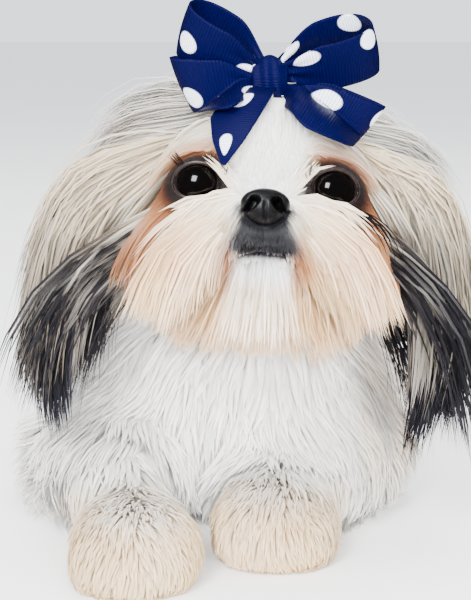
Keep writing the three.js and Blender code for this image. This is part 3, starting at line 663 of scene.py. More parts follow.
def nose_material():
    """Moist black nose leather, pebbled, with painted shade darkening the crevices between the pebbles, and
    the mesh's shade colour darkening the nostrils and the groove as painted shade.
    """
    s = Shader("nose leather")
    feeds = [("Vector", s.place((1000, 1000, 1000))), ("Scale", 1.1)]
    pebbles = s.node("ShaderNodeTexVoronoi", feeds, feature="DISTANCE_TO_EDGE").outputs["Distance"]
    # Painted shade: the pebbles' tops are lighter and the crevices between them darker.
    pebble_shade = s.ramp(pebbles, (0.02, (0.001, 0.001, 0.0012)), (0.25, (0.005, 0.005, 0.006)))
    s.base(s.mix(1.0, pebble_shade, s.colour("shade"), "MULTIPLY"))
    s.set(Roughness=0.46, Specular_IOR_Level=0.32, Coat_Weight=0.08, Coat_Roughness=0.3)
    s.bump(pebbles, 0.3, 0.0003)
    return s.material


RIB_PITCH = 0.95
DOT_PITCH = 22.6
ROW_PITCH = 26.0
DOT_RADIUS = 4.5


def ribbon_material():
    """Royal blue ribbed ribbon with a row of white dots, the valleys between its ribs darkened with painted
    shade. Its own map is in millimetres.
    """
    s = Shader("ribbed blue ribbon")
    split = s.node("ShaderNodeSeparateXYZ", [(0, s.uv("ribbon"))])
    along, across = split.outputs[0], split.outputs[1]
    u = s.sum("PINGPONG", along, DOT_PITCH / 2)
    v = s.sum("PINGPONG", across, ROW_PITCH / 2)
    from_dot = s.sum("SQRT", s.sum("ADD", s.sum("MULTIPLY", u, u), s.sum("MULTIPLY", v, v)))
    inside = s.sum("SUBTRACT", DOT_RADIUS, from_dot)
    dotted = s.ramp(s.sum("MULTIPLY_ADD", inside, 1.4, 0.5), (0.0, 0), (1.0, 1))
    ribs = s.sum("SINE", s.sum("MULTIPLY", along, 2 * math.pi / RIB_PITCH))
    threads = s.noise(s.place((1.1, 4.0, 1), s.uv("ribbon")))
    blue = s.ramp(threads, (0.3, (0.0, 0.0, 0.012)), (0.7, (0.0, 0.0001, 0.04)))
    white = s.ramp(threads, (0.3, (0.55, 0.60, 0.72)), (0.7, (0.80, 0.84, 0.92)))
    # Painted shade: the colour is darkened in the valleys between the ribs, where their shadow would fall.
    rib_valley_shade = s.ramp(s.sum("MULTIPLY_ADD", ribs, 0.5, 0.5), (0.0, 0.62), (0.6, 1))
    s.base(s.mix(1.0, s.mix(dotted, blue, white), rib_valley_shade, "MULTIPLY"))
    s.set(Roughness=0.55, Specular_IOR_Level=0.1)
    s.bump(ribs, 0.35, 0.0003)
    return s.material


HAIR = hair_material("soft long hair", 0.65, 0.88, 0.2)
SILK = hair_material("silky ear hair", 0.45, 0.6, 0.06)
MOTTLE = (0.3, (0.9, 0.88, 0.86)), (0.7, (0.97, 0.96, 0.95))
UNDERFUR = grained("underfur", (900, 900, 900), MOTTLE, 0.85, 0.2, (0.4, 0.0005), "coat")
EYE = eye_material()
LEATHER = nose_material()
RIM_TONES = (0.3, (0.008, 0.006, 0.006)), (0.8, (0.03, 0.02, 0.018))
DARK_RIM = grained("dark eye rim and lip", (700, 700, 700), RIM_TONES, 0.3, 0.5, (0.3, 0.0003))
HORN_TONES = (0.3, (0.03, 0.022, 0.018)), (0.8, (0.10, 0.075, 0.06))
HORN = grained("horn of the claws", (1200, 1200, 300), HORN_TONES, 0.35, 0.5)
RIBBON_CLOTH = ribbon_material()


# The skin.
EYE_OPENING = (10.4, 8.2)
EYE_TURN_OUT = 8.0
NEAR_EYE = 22
LID_RADIUS = 13.2
RIM_RADIUS = 12.6
SKIN_VOXEL = 2.6
SKIN_FLOOR = 0.8
HAIR_FLOOR = 0.7
TIP_FLOOR = 0.6
PATCH_SIZE = 0.003


def eye_frame(side):
    """Turns points of an eye's own frame into the dog's frame: -Y looks out of the eye."""
    turn = np.array(Matrix.Rotation(math.radians(side * EYE_TURN_OUT), 3, "Z"))
    centre = np.array([side * EYE_SPACING / 2, 0, 0])
    return lambda p: out_of_head(np.asarray(p, float) @ turn.T + centre)


def into_eye(points, side):
    turn = np.array(Matrix.Rotation(math.radians(side * EYE_TURN_OUT), 3, "Z"))
    return (into_head(points) - [side * EYE_SPACING / 2, 0, 0]) @ turn


def open_eyes(mesh):
    """Cuts the openings between the lids out of the skin and rolls their edges in to the eyeball."""
    bm = bmesh.new()
    bm.from_mesh(mesh)
    for side in SIDES.values():
        points = into_eye(np.array([v.co for v in bm.verts]), side)
        wide, high = EYE_OPENING
        inside = (np.hypot(points[:, 0] / wide, points[:, 2] / high) < 1) & (points[:, 1] < 0)
        inside &= np.linalg.norm(points, axis=1) < NEAR_EYE
        gone = [v for v, inner in zip(bm.verts, inside) if inner]
        bmesh.ops.delete(bm, geom=gone, context="VERTS")
        edges = [e for e in bm.edges if e.is_boundary]
        at_edge = {v for e in edges for v in e.verts}
        rim = {v for v in at_edge if np.linalg.norm(into_eye(np.array(v.co), side)) < NEAR_EYE}
        place = eye_frame(side)
        for v in rim:
            p = into_eye(np.array(v.co), side)
            angle = math.atan2(p[2] / high, p[0] / wide)
            x, z = wide * math.cos(angle), high * math.sin(angle)
            v.co = place([x, -math.sqrt(max(LID_RADIUS**2 - x * x - z * z, 1)), z])
        rim_edges = [e for e in edges if e.verts[0] in rim and e.verts[1] in rim]
        rolled = bmesh.ops.extrude_edge_only(bm, edges=rim_edges)["geom"]
        for v in [g for g in rolled if isinstance(g, bmesh.types.BMVert)]:
            p = into_eye(np.array(v.co), side)
            v.co = place(p * (EYE_RADIUS - 0.4) / np.linalg.norm(p))
    bm.to_mesh(mesh)
    bm.free()


def make_skin():
    forms = [form for group in REGIONS.values() for form in group]
    mesh = moulded("skin", forms, None, SKIN_VOXEL, 0)
    points = vertices_of(mesh)
    for _ in range(3):
        gap, way = OFF_ALL(points)
        points = points - way * np.clip(gap, -3, 3)[:, None] * 0.9
    points = points - way * np.clip(all_flesh(points), -1, 1)[:, None]
    points[:, 2] = np.maximum(points[:, 2], SKIN_FLOOR)
    set_vertices(mesh, points)
    open_eyes(mesh)
    points = vertices_of(mesh)
    region = region_of(points)
    colours = markings(points, region)
    for side in SIDES.values():
        q = into_eye(points, side)
        ring = np.hypot(q[:, 0] / EYE_OPENING[0], q[:, 2] / EYE_OPENING[1])
        lid = (1 - smooth(ring, 1.12, 1.4)) * (np.linalg.norm(q, axis=1) < 24)
        colours = paint(colours, LID, lid)
    point_colours(mesh, "coat", colours)
    return mesh, region


def unwrap(mesh):
    """Unwraps the skin's own shape and gives each corner's place on that unwrap."""
    piece = new_object("skin", mesh)
    bpy.context.view_layer.objects.active = piece
    piece.select_set(True)
    mesh.uv_layers.new(name="OFBake")
    bpy.ops.object.mode_set(mode="EDIT")
    bpy.ops.mesh.select_all(action="SELECT")
    bpy.ops.uv.smart_project(angle_limit=math.radians(60), island_margin=0.002)
    bpy.ops.object.mode_set(mode="OBJECT")
    piece.select_set(False)
    return piece


SKIN_MESH, SKIN_REGION = make_skin()
SKIN = unwrap(SKIN_MESH)


def skin_table():
    """The skin's triangles: corners, area, region and the corners' places on the unwrap."""
    mesh = SKIN.data
    mesh.calc_loop_triangles()
    corners = np.empty(len(mesh.loop_triangles) * 3, int)
    loops = np.empty(len(mesh.loop_triangles) * 3, int)
    mesh.loop_triangles.foreach_get("vertices", corners)
    mesh.loop_triangles.foreach_get("loops", loops)
    uv = np.empty(len(mesh.loops) * 2)
    mesh.uv_layers["OFBake"].data.foreach_get("uv", uv)
    corners = corners.reshape(-1, 3)
    points = vertices_of(mesh)[corners]
    area = np.linalg.norm(np.cross(points[:, 1] - points[:, 0], points[:, 2] - points[:, 0]), axis=1) / 2
    return {
        "points": points,
        "area": area,
        "region": SKIN_REGION[corners[:, 0]],
        "uv": uv.reshape(-1, 2)[loops.reshape(-1, 3)],
    }


TABLE = skin_table()


def roots_on(regions, count, density=None):
    """Roots spread evenly over regions of the skin, or as thickly as `density` says at each triangle."""
    chosen = np.flatnonzero(np.isin(TABLE["region"], regions) & (TABLE["points"][:, :, 2].max(1) > 2.5))
    middle = TABLE["points"][chosen].mean(1)
    weight = TABLE["area"][chosen] * (1 if density is None else density(middle))
    order = np.argsort(middle[:, 1] // 6 * 1000 + middle[:, 2] // 6 * 30 + middle[:, 0] / 200)
    chosen, weight = chosen[order], weight[order]
    running = np.cumsum(weight) / weight.sum()
    picks = (np.arange(count) + RNG.random(count)) / count
    face = chosen[np.minimum(np.searchsorted(running, picks), len(chosen) - 1)]
    a, b = RNG.random((2, count))
    flip = a + b > 1
    a, b = np.where(flip, 1 - a, a), np.where(flip, 1 - b, b)
    share = np.stack([1 - a - b, a, b], 1)
    points = (TABLE["points"][face] * share[..., None]).sum(1)
    uv = (TABLE["uv"][face] * share[..., None]).sum(1)
    return points, uv, TABLE["region"][face]


# Locks of hair, and how many are rooted for each part of the coat.
COUNTS = {
    "lashes": 30000, "face": 17000, "cheeks": 14000, "moustache": 6400, "beard": 2400, "topknot": 3300,
    "ear_": 2600, "neck": 2200, "chest": 7000, "torso": 7000, "foreleg_": 2600, "forepaw_": 3300,
    "hindleg_": 2000, "hindpaw_": 1000, "tail": 1700,
}


def spread(low, high, count):
    return low + (high - low) * RNG.random(count)


def drift(points, size):
    """A smooth wandering vector over space, which keeps the coat from lying like a brush."""
    p = points / size
    x, y, z = p.T
    return stack(
        np.sin(1.3 * y + 1.9 * z + np.sin(2.1 * x)),
        np.sin(1.7 * z + 1.1 * x + np.sin(1.9 * y) + 2.0),
        np.sin(1.9 * x + 1.5 * y + np.sin(1.6 * z) + 4.0),
    )


def comb(roots, guide, length, lift, segments, off, cling=0.0, wave=0.0, wander=0.0):
    """Lays locks along their way. Gives each lock's points and the outward side at each of them."""
    count = len(roots)
    gap, up = off(roots)
    points, ups = [roots], [up]
    swerve = wander * (drift(roots, 14) + 0.7 * drift(roots + 50, 6))
    swerve = swerve + wander * 0.5 * RNG.normal(0, 1, (count, 3))

    def heading(p, t, up):
        return unit(unit(guide(p, np.full(count, t), up)) + swerve)

    way = heading(roots, 0.0, up)
    phase = RNG.random((2, count)) * 2 * math.pi
    for k in range(1, segments + 1):
        t = k / segments
        p = points[-1] + way * (length / segments)[:, None]
        clear = lift * (1 - (1 - t) ** 2) + 0.3
        for _ in range(2):
            gap, out = off(p)
            short = clear - gap
            p = p + out * (short * np.where(short > 0, 0.9, cling))[:, None]
        side = unit(np.cross(way, ups[-1]))
        p = p + side * (wave * length * 0.12 * np.sin(phase[0] + 5 * t))[:, None]
        p[:, 2] = np.maximum(p[:, 2], HAIR_FLOOR)
        gone = unit(p - points[-1])
        gap, out = off(p)
        agree = np.clip((out * ups[-1]).sum(-1, keepdims=True), 0, 1)
        up = unit(mix(ups[-1], out, 0.5 * agree))
        points.append(p)
        ups.append(up)
        way = unit(mix(gone, heading(p, t, up), 0.6))
    return np.stack(points, 1), np.stack(ups, 1)


def nearest_of(candidates, points):
    """Which of the candidates lies nearest to each point."""
    tree = kdtree.KDTree(len(candidates))
    for i, place in enumerate(candidates):
        tree.insert(place, i)
    tree.balance()
    return np.array([tree.find(p)[1] for p in points])


def clump(points, size, pull):
    """Draws locks towards a neighbour as they near their tips, so that the coat parts and gathers."""
    count = len(points)
    leaders = RNG.permutation(count)[: max(count // size, 1)]
    nearest = leaders[nearest_of(points[leaders, 0], points[:, 0])]
    t = np.linspace(0, 1, points.shape[1])[None, :, None]
    offset = (points[:, :1] - points[nearest, :1]) * 0.35
    return mix(points, points[nearest] + offset, np.asarray(pull).reshape(-1, 1, 1) * t**1.3)


def lock_pattern(last):
    """The triangles of one lock: rings of a left, a right and a ridge point, then the tip."""
    tris = [(0, 1, 2)]
    for k in range(last - 1):
        for j in range(3):
            a, b = k * 3 + j, k * 3 + (j + 1) % 3
            tris += [(a, a + 3, b), (b, a + 3, b + 3)]
    end = (last - 1) * 3
    tris += [(end, end + 3, end + 1), (end + 1, end + 3, end + 2), (end + 2, end + 3, end)]
    return np.array(tris)


def lock_mesh(name, points, ups, width, thick, uv, colours, profile=(0.6, 1.3, -1.75)):
    """One mesh of many flat tapering locks, each three-sided with a ridge along its outer side."""
    count, rings = points.shape[:2]
    last = rings - 1
    t = np.arange(last) / last
    ahead = np.empty((count, last, 3))
    ahead[:, 0] = points[:, 1] - points[:, 0]
    ahead[:, 1:] = points[:, 2:] - points[:, :-2]
    ahead = unit(ahead)
    side = unit(np.cross(ahead, ups[:, :last]))
    for k in range(1, last):
        before = side[:, k - 1]
        carried = before - ahead[:, k] * (before * ahead[:, k]).sum(-1, keepdims=True)
        side[:, k] = unit(np.cross(ahead[:, k], ups[:, k]) + carried * 0.8)
    up = np.cross(side, ahead)
    half = width[:, None] / 2 * (profile[0] + profile[1] * t + profile[2] * t * t)
    high = thick[:, None] * (1 - 0.6 * t)
    body = points[:, :last]
    out = side * half[..., None]
    corners = np.stack([body - out, body + out, body + up * high[..., None]], 2)
    each = last * 3 + 1
    verts = np.concatenate([corners.reshape(count, last * 3, 3), points[:, last:]], 1).reshape(-1, 3)
    pattern = lock_pattern(last)
    faces = (pattern[None] + (np.arange(count) * each)[:, None, None]).reshape(-1, 3)
    mesh = bpy.data.meshes.new(name)
    mesh.vertices.add(len(verts))
    mesh.vertices.foreach_set("co", metres(verts).ravel())
    mesh.loops.add(faces.size)
    mesh.loops.foreach_set("vertex_index", faces.ravel())
    mesh.polygons.add(len(faces))
    mesh.polygons.foreach_set("loop_start", np.arange(0, faces.size, 3))
    mesh.update(calc_edges=True)
    shade_smooth(mesh)

    # The outer faces take the coat's own roundness, and the inner ones face the skin.
    lean = np.stack([up - side * 0.25, up + side * 0.25, up], 2).reshape(count, last * 3, 3)
    outer = unit(np.concatenate([lean, up[:, -1:]], 1))
    below = ((pattern % 3 != 2) | (pattern == last * 3)).all(1)
    normals = np.where(below[None, :, None, None], -1, 1) * outer[:, pattern]
    at = verts[faces.reshape(count, -1, 3)]
    flat_normal = unit(np.cross(at[:, :, 1] - at[:, :, 0], at[:, :, 2] - at[:, :, 0]))[:, :, None]
    agree = (normals * flat_normal).sum(-1, keepdims=True)
    normals = np.where(agree > 0.25, normals, flat_normal)
    mesh.normals_split_custom_set(normals.reshape(-1, 3).tolist())

    across = np.concatenate([np.tile([0.0, 1.0, 0.5], last), [0.5]])
    along = np.concatenate([np.repeat(t, 3), [1.0]])
    length = np.linalg.norm(np.diff(points, axis=1), axis=2).sum(1)
    strand_across = RNG.random((count, 1)) * 500 + across[None] * width[:, None]
    strand_along = RNG.random((count, 1)) * 500 + along[None] * length[:, None]
    strand = np.stack([strand_across, strand_along], -1).reshape(-1, 2)
    patch = (uv[:, None] + np.stack([across - 0.5, along - 0.5], 1)[None] * PATCH_SIZE).reshape(-1, 2)
    flat = faces.ravel()
    for layer_name, places in (("OFBake", patch), ("strand", strand)):
        layer = mesh.uv_layers.new(name=layer_name)
        layer.data.foreach_set("uv", places[flat].ravel())
    ring_colours = np.repeat(colours[:, :last], 3, axis=1)
    point_colours(mesh, "coat", np.concatenate([ring_colours, colours[:, last:]], 1).reshape(-1, 3))
    return mesh


def tinted(points, region):
    """Colours along locks: the markings where each point lies, kept partly to the root's own."""
    count, rings = points.shape[:2]
    here = markings(points.reshape(-1, 3), np.repeat(region, rings)).reshape(count, rings, 3)
    return mix(here, here[:, :1], 0.4) * (1 + RNG.normal(0, 0.06, (count, 1, 1)))


def body_facing(points):
    """The outer side of the body's hair, smoothed over the hollows where its parts meet."""
    out = ROUNDED(points.reshape(-1, 3))[1].reshape(points.shape)
    return unit(out + [0, -0.15, 0.35])


def only(arrays, chosen):
    return tuple(array[chosen] for array in arrays)


def varied(value, count):
    """One number for each lock: `value`, or for (value, low, high) a random share of it between the two."""
    if isinstance(value, tuple):
        value, low, high = value
        value = value * spread(low, high, count)
    return np.broadcast_to(value, count).astype(float)


def coat_piece(name, slot, roots, guide, length, width, lift, segments=4, material=HAIR, off=OFF_BODY,
               cling=0.0, thick=0.3, wave=0.05, wander=0.08, clumps=14, pull=0.6, colours=tinted, face=None):
    """A piece of coat: locks laid from their roots along the guide, gathered, kept off eyes and bow."""
    points, uv, region = roots
    count = len(points)
    length, width, lift = (varied(value, count) for value in (length, width, lift))
    laid, ups = comb(points, guide, length, lift, segments, off, cling, wave, wander)
    laid = clump(laid, clumps, pull * spread(0.5, 1.0, count))
    laid[:, :, 2] = np.maximum(laid[:, :, 2], TIP_FLOOR)
    laid = behind_bow(laid)
    if face:
        ups = unit(mix(ups, face(laid), 0.85))
        keep = clear_of_eyes(laid[:, 1:].reshape(-1, 3), -0.3).reshape(count, -1).all(1) & ~crosses_bow(laid)
        laid, ups, uv, region, width = only((laid, ups, uv, region, width), keep)
        count = len(laid)
    tint = colours(laid, region)
    mesh = lock_mesh(name, laid, ups, width * spread(0.7, 1.2, count), np.full(count, thick), uv, tint)
    return finish_piece(new_object(name, mesh), material, slot)


def lying(way):
    """A guide that follows the skin: `way` with most of its outward part taken away."""

    def guide(p, t, up):
        target = way(p, t, up)
        return target - 0.85 * (target * up).sum(-1, keepdims=True) * up

    return guide


KNOT = np.array([0, 27, 53])


def head_facing(points):
    """The outer side of the head's long hair: up on the crown, outwards at the sides, forwards in front."""
    h = into_head(points)
    x, y, z = h[..., 0], h[..., 1], h[..., 2]
    return head_way(unit(stack(x / 60, (y - 50) / 34 - 0.3, np.maximum(z - 14, 0) / 40)))


def from_eye(h):
    return np.hypot(np.abs(h[:, 0]) - EYE_SPACING / 2, h[:, 2])


def face_guide(p, t, up):
    """Short hair of the face: away from the eyes, up the blaze to the band, outwards on brow and cheeks."""
    h = into_head(p)
    x, _, z = h.T
    side = np.sign(x)
    aside = np.abs(x)
    rise = unit(KNOT - h)
    inner = (1 - smooth(aside, 24, 32)) * (1 - smooth(np.abs(z), 14, 22))
    sweep = unit(stack(side * mix(0.85, -0.15, inner), 0.35, mix(-0.95, -0.72, smooth(z, -8, 14))))
    up_share = (1 - smooth(aside - 0.12 * np.maximum(z, 0), 12, 21)) * smooth(z, -14, -6)
    way = mix(sweep, rise, up_share[:, None])
    far = from_eye(h)
    around = stack(x - side * EYE_SPACING / 2, 0.2 * far, z) / np.maximum(far, 1)[:, None]
    near = (1 - smooth(far, 11, 20)) * 0.9
    return head_way(mix(unit(way), unit(around), near[:, None]))


def bib_edge(aside):
    """How low the face's hanging hair reaches, in the head's frame."""
    return mix(-76, -50, smooth(aside, 22, 58))


def face_length(h):
    x, _, z = h.T
    aside = np.abs(x)
    far = from_eye(h)
    blaze = mix(6, 26, smooth(z, 0, 30))
    outer = mix(18, 46, smooth(z, 12, 34))
    length = mix(blaze, outer, smooth(aside, 16, 26))
    length = mix(length, 30, smooth(aside, 30, 40) * (1 - smooth(z, 0, 16)))
    inner = (1 - smooth(aside, 26, 33)) * (1 - smooth(np.abs(z), 13, 20))
    length = mix(length, 6, inner)
    return mix(3.4, length, smooth(far, 11, 26))


def clear_of_eyes(points, margin=0.4):
    clear = np.ones(len(points), bool)
    for side in SIDES.values():
        q = into_eye(points, side)
        ring = np.hypot(q[:, 0] / (EYE_OPENING[0] + margin), q[:, 2] / (EYE_OPENING[1] + margin))
        clear &= ~((ring < 1) & (q[:, 1] < 0))
    return clear


CELL = 4.0
CELLS = 160


def seen_from_camera(points):
    """The cells of the picture in which points appear, and how far off they are."""
    dip = math.radians(CAMERA_DIP)
    x, y, z = parts(points - CAMERA_PLACE)
    far = y * math.cos(dip) - z * math.sin(dip)
    high = y * math.sin(dip) + z * math.cos(dip)
    cells = [v / far * FOCAL_PIXELS / CELL + CELLS // 2 for v in (x, high)]
    across, down = (np.clip(v, 1, CELLS - 2).astype(int) for v in cells)
    return across, down, far


def bow_shadow():
    """How deep the bow's far and near sides lie in each cell of the picture; nothing where it isn't seen."""
    deep = np.full((CELLS, CELLS), -1.0)
    near = np.full((CELLS, CELLS), 1e6)
    u, v = (a.ravel() for a in np.meshgrid(np.linspace(0, 1, 160), np.linspace(0, 1, 40)))
    for surface in (*map(loop_surface, LOOPS.values()), end_surface, knot_surface):
        across, down, far = seen_from_camera(from_bow(surface(u, v)[0]))
        np.maximum.at(deep, (across, down), far)
        np.minimum.at(near, (across, down), far)
    return deep, near


def behind_bow(points):
    """Moves the points of locks that would cover the bow to its far side, yet not into the skin."""
    across, down, far = seen_from_camera(points)
    short = np.where(BOW_SHADOW[across, down] > 0, BOW_SHADOW[across, down] + 1.5 - far, 0)
    moved = np.flatnonzero(short.ravel() > 0)
    flat = points.reshape(-1, 3).copy()
    flat[moved] += short.ravel()[moved, None] * unit(np.array([0, 1, -0.2]))
    for _ in range(3):
        gap, out = OFF_BODY(flat[moved])
        flat[moved] += out * np.maximum(1.0 - gap, 0)[:, None]
    return flat.reshape(points.shape)


def crosses_bow(points):
    """Whether any stretch of a lock passes before the ribbon."""
    crosses = np.zeros(len(points), bool)
    for share in (0.3, 0.6, 0.9):
        between = mix(points[:, :-1], points[:, 1:], share)
        across, down, far = seen_from_camera(between)
        crosses |= ((BOW_SHADOW[across, down] > 0) & (far < BOW_FRONT[across, down] + 1)).any(1)
    return crosses


def make_face():
    def density(p):
        h = into_head(p)
        return (1 + 2.2 * (1 - smooth(h[:, 1], 0, 26))) * (1 + 1.2 * (1 - smooth(from_eye(h), 12, 22)))

    roots = roots_on(["skull", "topknot"], COUNTS["face"], density)
    h = into_head(roots[0])
    falls = (h[:, 2] < -7) & (np.abs(h[:, 0]) > 13)
    keep = clear_of_eyes(roots[0]) & (h[:, 1] < 62) & ~(falls & (from_eye(h) > 19))
    roots, h = only(roots, keep), h[keep]
    length = face_length(h) * spread(0.7, 1.15, len(h))
    short = length < 15
    for name, chosen, segments, width in (("coat_face", short, 2, 1.1), ("coat_brow", ~short, 4, 1.9)):
        reach = length[chosen]
        coat_piece(
            name, "white_coat", only(roots, chosen), lying(face_guide), reach, width,
            (np.minimum(reach * 0.16, 7), 0.6, 1.0), segments, cling=0.3, thick=0.28, clumps=9, pull=0.4,
            face=head_facing,
        )


def falling(side, out):
    """A guide that starts outwards by `out` and soon hangs down."""
    start = unit(stack(side * out, 0.1, -0.7))
    end = unit(stack(side * 0.1, 0.12, -1))
    return lambda p, t, up: head_way(mix(start, end, smooth(t * 1.3, 0, 1)[:, None]))


def temple_colours(laid, region):
    """Silver and cream at the roots beside the eye, darker where they pass over the ears."""
    x, _, z = parts(into_head(laid))
    streak = ripple(laid, 5, 5, 0.25) + RNG.normal(0, 0.16, (len(laid), 1))
    near_eye = 1 - smooth(np.abs(x), 38, 50)
    drop = -z + (streak - 0.5) * 50 + 10 * (x > 0)
    colour = layered(
        laid,
        SILVER,
        (CREAM, smooth(streak, 0.35, 0.8) * 0.6),
        (TAN, near_eye * (1 - smooth(z, 6, 20)) * 0.7),
        (WHITE, smooth(z, 12, 38) * 0.7),
        (SLATE, smooth(drop, 4, 40) * 0.95),
        (CHARCOAL, smooth(drop, 22, 56) * 0.95),
    )
    return colour * (1 + RNG.normal(0, 0.07, (len(laid), 1, 1)))


def make_cheeks():
    """Long hair from below the eyes and from the temples, past the moustache and over the ears' roots."""
    roots = roots_on(["skull"], COUNTS["cheeks"])
    h = into_head(roots[0])
    x, y, z = h.T
    aside = np.abs(x)
    cheek = (z < -5) & (aside > 12) & (y < 40) & (from_eye(h) > 15)
    temple = (aside > 36) & (y > 2) & (y < 50) & (z > -24) & (z < 32) & (from_eye(h) > 19)
    keep = (cheek | temple) & (RNG.random(len(h)) < 0.95)
    roots, h, temple = only(roots, keep), h[keep], temple[keep]
    aside = np.abs(h[:, 0])
    side = np.sign(h[:, 0])
    out = np.where(temple, spread(0.5, 1.0, len(h)), 0.45 * smooth(aside, 12, 34))
    length = np.where(temple, mix(82, 110, out), np.maximum((h[:, 2] - bib_edge(aside + 9)) * 1.08, 10))
    length = length * spread(0.6, 1.04, len(h))
    lift = np.where(temple, spread(3, 14, len(h)), spread(4, 8, len(h)))
    for name, chosen, material, tint in (
        ("coat_cheeks", ~temple, HAIR, tinted), ("coat_temples", temple, SILK, temple_colours),
    ):
        coat_piece(
            name, "grey_coat", only(roots, chosen), falling(side[chosen], out[chosen]), length[chosen], 2.0,
            lift[chosen], 5, material, pull=0.5, colours=tint, face=head_facing,
        )


def mouth_line(x):
    """The height of the line of the mouth, in the head's frame."""
    return -31.2 - 0.016 * x * x


def make_moustache():
    roots = roots_on(["muzzle"], COUNTS["moustache"])
    h = into_head(roots[0])
    nose = np.linalg.norm((h - NOSE_MIDDLE) / NOSE_HALF, axis=1)
    keep = (nose > 0.92) & (np.abs(h[:, 2] - mouth_line(h[:, 0])) > 1.6)
    roots, h = only(roots, keep), h[keep]
    x, _, z = h.T
    side, aside = np.sign(x), np.abs(x)
    bridge = smooth(z, -13, -8) * (1 - smooth(aside, 8, 14))
    out = smooth(aside, 3, 17)
    short = 1 - smooth(aside, 8, 14)
    length = np.maximum((z - bib_edge(aside + 12 * out)) * 1.12, 8)
    length = length * mix(1, 0.1, np.maximum(short, bridge)) * spread(0.55, 1.04, len(h))

    def guide(p, t, up):
        start = stack(side * (0.1 + 0.7 * out), -0.15, -0.55 - 0.35 * (1 - out))
        start = mix(start, stack(side * 0.3, 0.5, 0.9), bridge[:, None])
        end = stack(side * (0.04 + 0.16 * out), 0.12, -1)
        turned = smooth(t * 1.8, 0, 1) * (1 - bridge)
        return head_way(mix(unit(start), unit(end), turned[:, None]))

    lift = (np.minimum(length * 0.14, 8), 0.6, 1)
    coat_piece(
        "coat_moustache", "cream_coat", roots, guide, length, 1.5, lift, thick=0.28, clumps=12, pull=0.5,
        face=head_facing,
    )


def make_beard():
    roots = roots_on(["jaw"], COUNTS["beard"], lambda p: smooth(-into_head(p)[:, 1], -30, 0) + 0.1)
    h = into_head(roots[0])
    length = np.clip(h[:, 2] - bib_edge(np.abs(h[:, 0])), 12, 38)

    def guide(p, t, up):
        return head_way(stack(into_head(p)[:, 0] * 0.016, mix(-0.35, 0.2, t), -1))

    coat_piece(
        "coat_beard", "tan_coat", roots, guide, (length, 0.5, 1.05), 1.5, (6, 0.5, 1), thick=0.28, clumps=12,
        pull=0.5, face=head_facing,
    )


def make_topknot():
    """Hair beyond the band, which fans out over the crown and falls over the ears and the nape."""
    count = COUNTS["topknot"]
    turn = np.radians(spread(-14, 194, count))
    aside, behind = np.cos(turn), np.sin(turn)
    up_the_knot = spread(0, 1, count)
    points = out_of_head(stack(aside * 6 * (1.2 - up_the_knot), 31 + behind * 5, 49 + 6 * up_the_knot))
    on_skin, on_unwrap, _ = roots_on(["topknot"], 400)
    roots = points, on_unwrap[nearest_of(on_skin, points)], np.full(count, "topknot", dtype="<U13")
    lean = np.where(aside < 0, 0.22, -0.05) - 0.3 * smooth(-behind, -0.3, 0.1)

    def guide(p, t, up):
        q = into_head(p)
        start = stack(aside, np.maximum(behind, 0.22), lean + 0.2 * up_the_knot)
        end = stack(aside * 0.3, behind * 0.3, -1)
        fallen = smooth(np.hypot(q[:, 0], (q[:, 1] - 32) * 1.4), 26, 92)
        return head_way(mix(start, end, fallen[:, None]))

    length = mix(62, 98, np.abs(aside)) * spread(0.75, 1.1, count)
    lift = spread(2, 20, count)
    coat_piece(
        "coat_topknot", "grey_coat", roots, guide, length, 2.0, lift, 6, SILK, OFF_ALL,
        cling=np.where(lift < 12, 0.45, 0.05), clumps=16, pull=0.5, colours=temple_colours, face=head_facing,
    )


# How far out an ear's hair turns down, how far it then bends inwards, and how low it starts to.
EAR_FALL = {"left": (88, 0.42, 24), "right": (106, 0.3, 60)}


def make_ears():
    for name, side in SIDES.items():
        density = lambda p: 1 + 1.6 * smooth(into_head(p)[:, 2], -30, 5)
        roots = roots_on(["ear_" + name], COUNTS["ear_"], density)
        h = into_head(roots[0])
        sooner = spread(0, 0.5, len(h))
        edge, inward, low = EAR_FALL[name]

        def guide(p, t, up):
            x, _, z = parts(into_head(p))
            turned = np.clip(smooth(np.abs(x), 52, edge) + sooner, 0, 1)
            tucked = smooth(-z, low, 95)
            return head_way(stack(side * mix(1, 0.05 - inward * tucked, turned), 0, mix(-0.35, -1, turned)))

        length = (mix(98, 64, smooth(-h[:, 2], -30, 44)), 0.75, 1.1)
        coat_piece(
            "coat_ear_" + name, "dark_coat", roots, guide, length, 2.1, (1, 2, 9), 5, SILK, OFF_ALL,
            pull=0.5, face=head_facing,
        )


def make_trunk():
    for region, slot, (aside, back, down), length, lift, width in (
        ("neck", "grey_coat", (0.5, 0.45, -1), 58, 17, 2.8),
        ("chest", "white_coat", (0.6, -0.25, -1), 46, 15, 3.4),
    ):
        guide = lying(lambda p, t, up: stack(up[:, 0] * aside, back, down))
        roots = roots_on([region], COUNTS[region])
        coat_piece(
            "coat_" + region, slot, roots, guide, (length, 0.7, 1.1), width, (lift, 0.6, 1), cling=0.5,
            wave=0.12, wander=0.22, clumps=18, pull=0.45, face=body_facing,
        )
    roots = roots_on(["torso"], COUNTS["torso"])
    guide = lying(lambda p, t, up: stack(up[:, 0] * 0.4, 0.85, -0.8 * np.abs(up[:, 0]) - 0.1))
    left = roots[0][:, 0] > 0
    for name, chosen in (("left", left), ("right", ~left)):
        coat_piece(
            "coat_torso_" + name, "white_coat", only(roots, chosen), guide, (68, 0.75, 1.15), 3.4,
            (18, 0.6, 1), cling=0.5, thick=0.35, wave=0.08, wander=0.15, face=body_facing,
        )


SLEEVE = {"left": 46, "right": 70}
SLEEVE_FLARE = {"left": 0.3, "right": 2.0}


def along_arm(points, name):
    """How far points lie along a foreleg, from its elbow to its wrist."""
    elbow, wrist = (np.array(FORELEG[name][end], float) for end in ("elbow", "wrist"))
    return (points - elbow) @ unit(wrist - elbow)


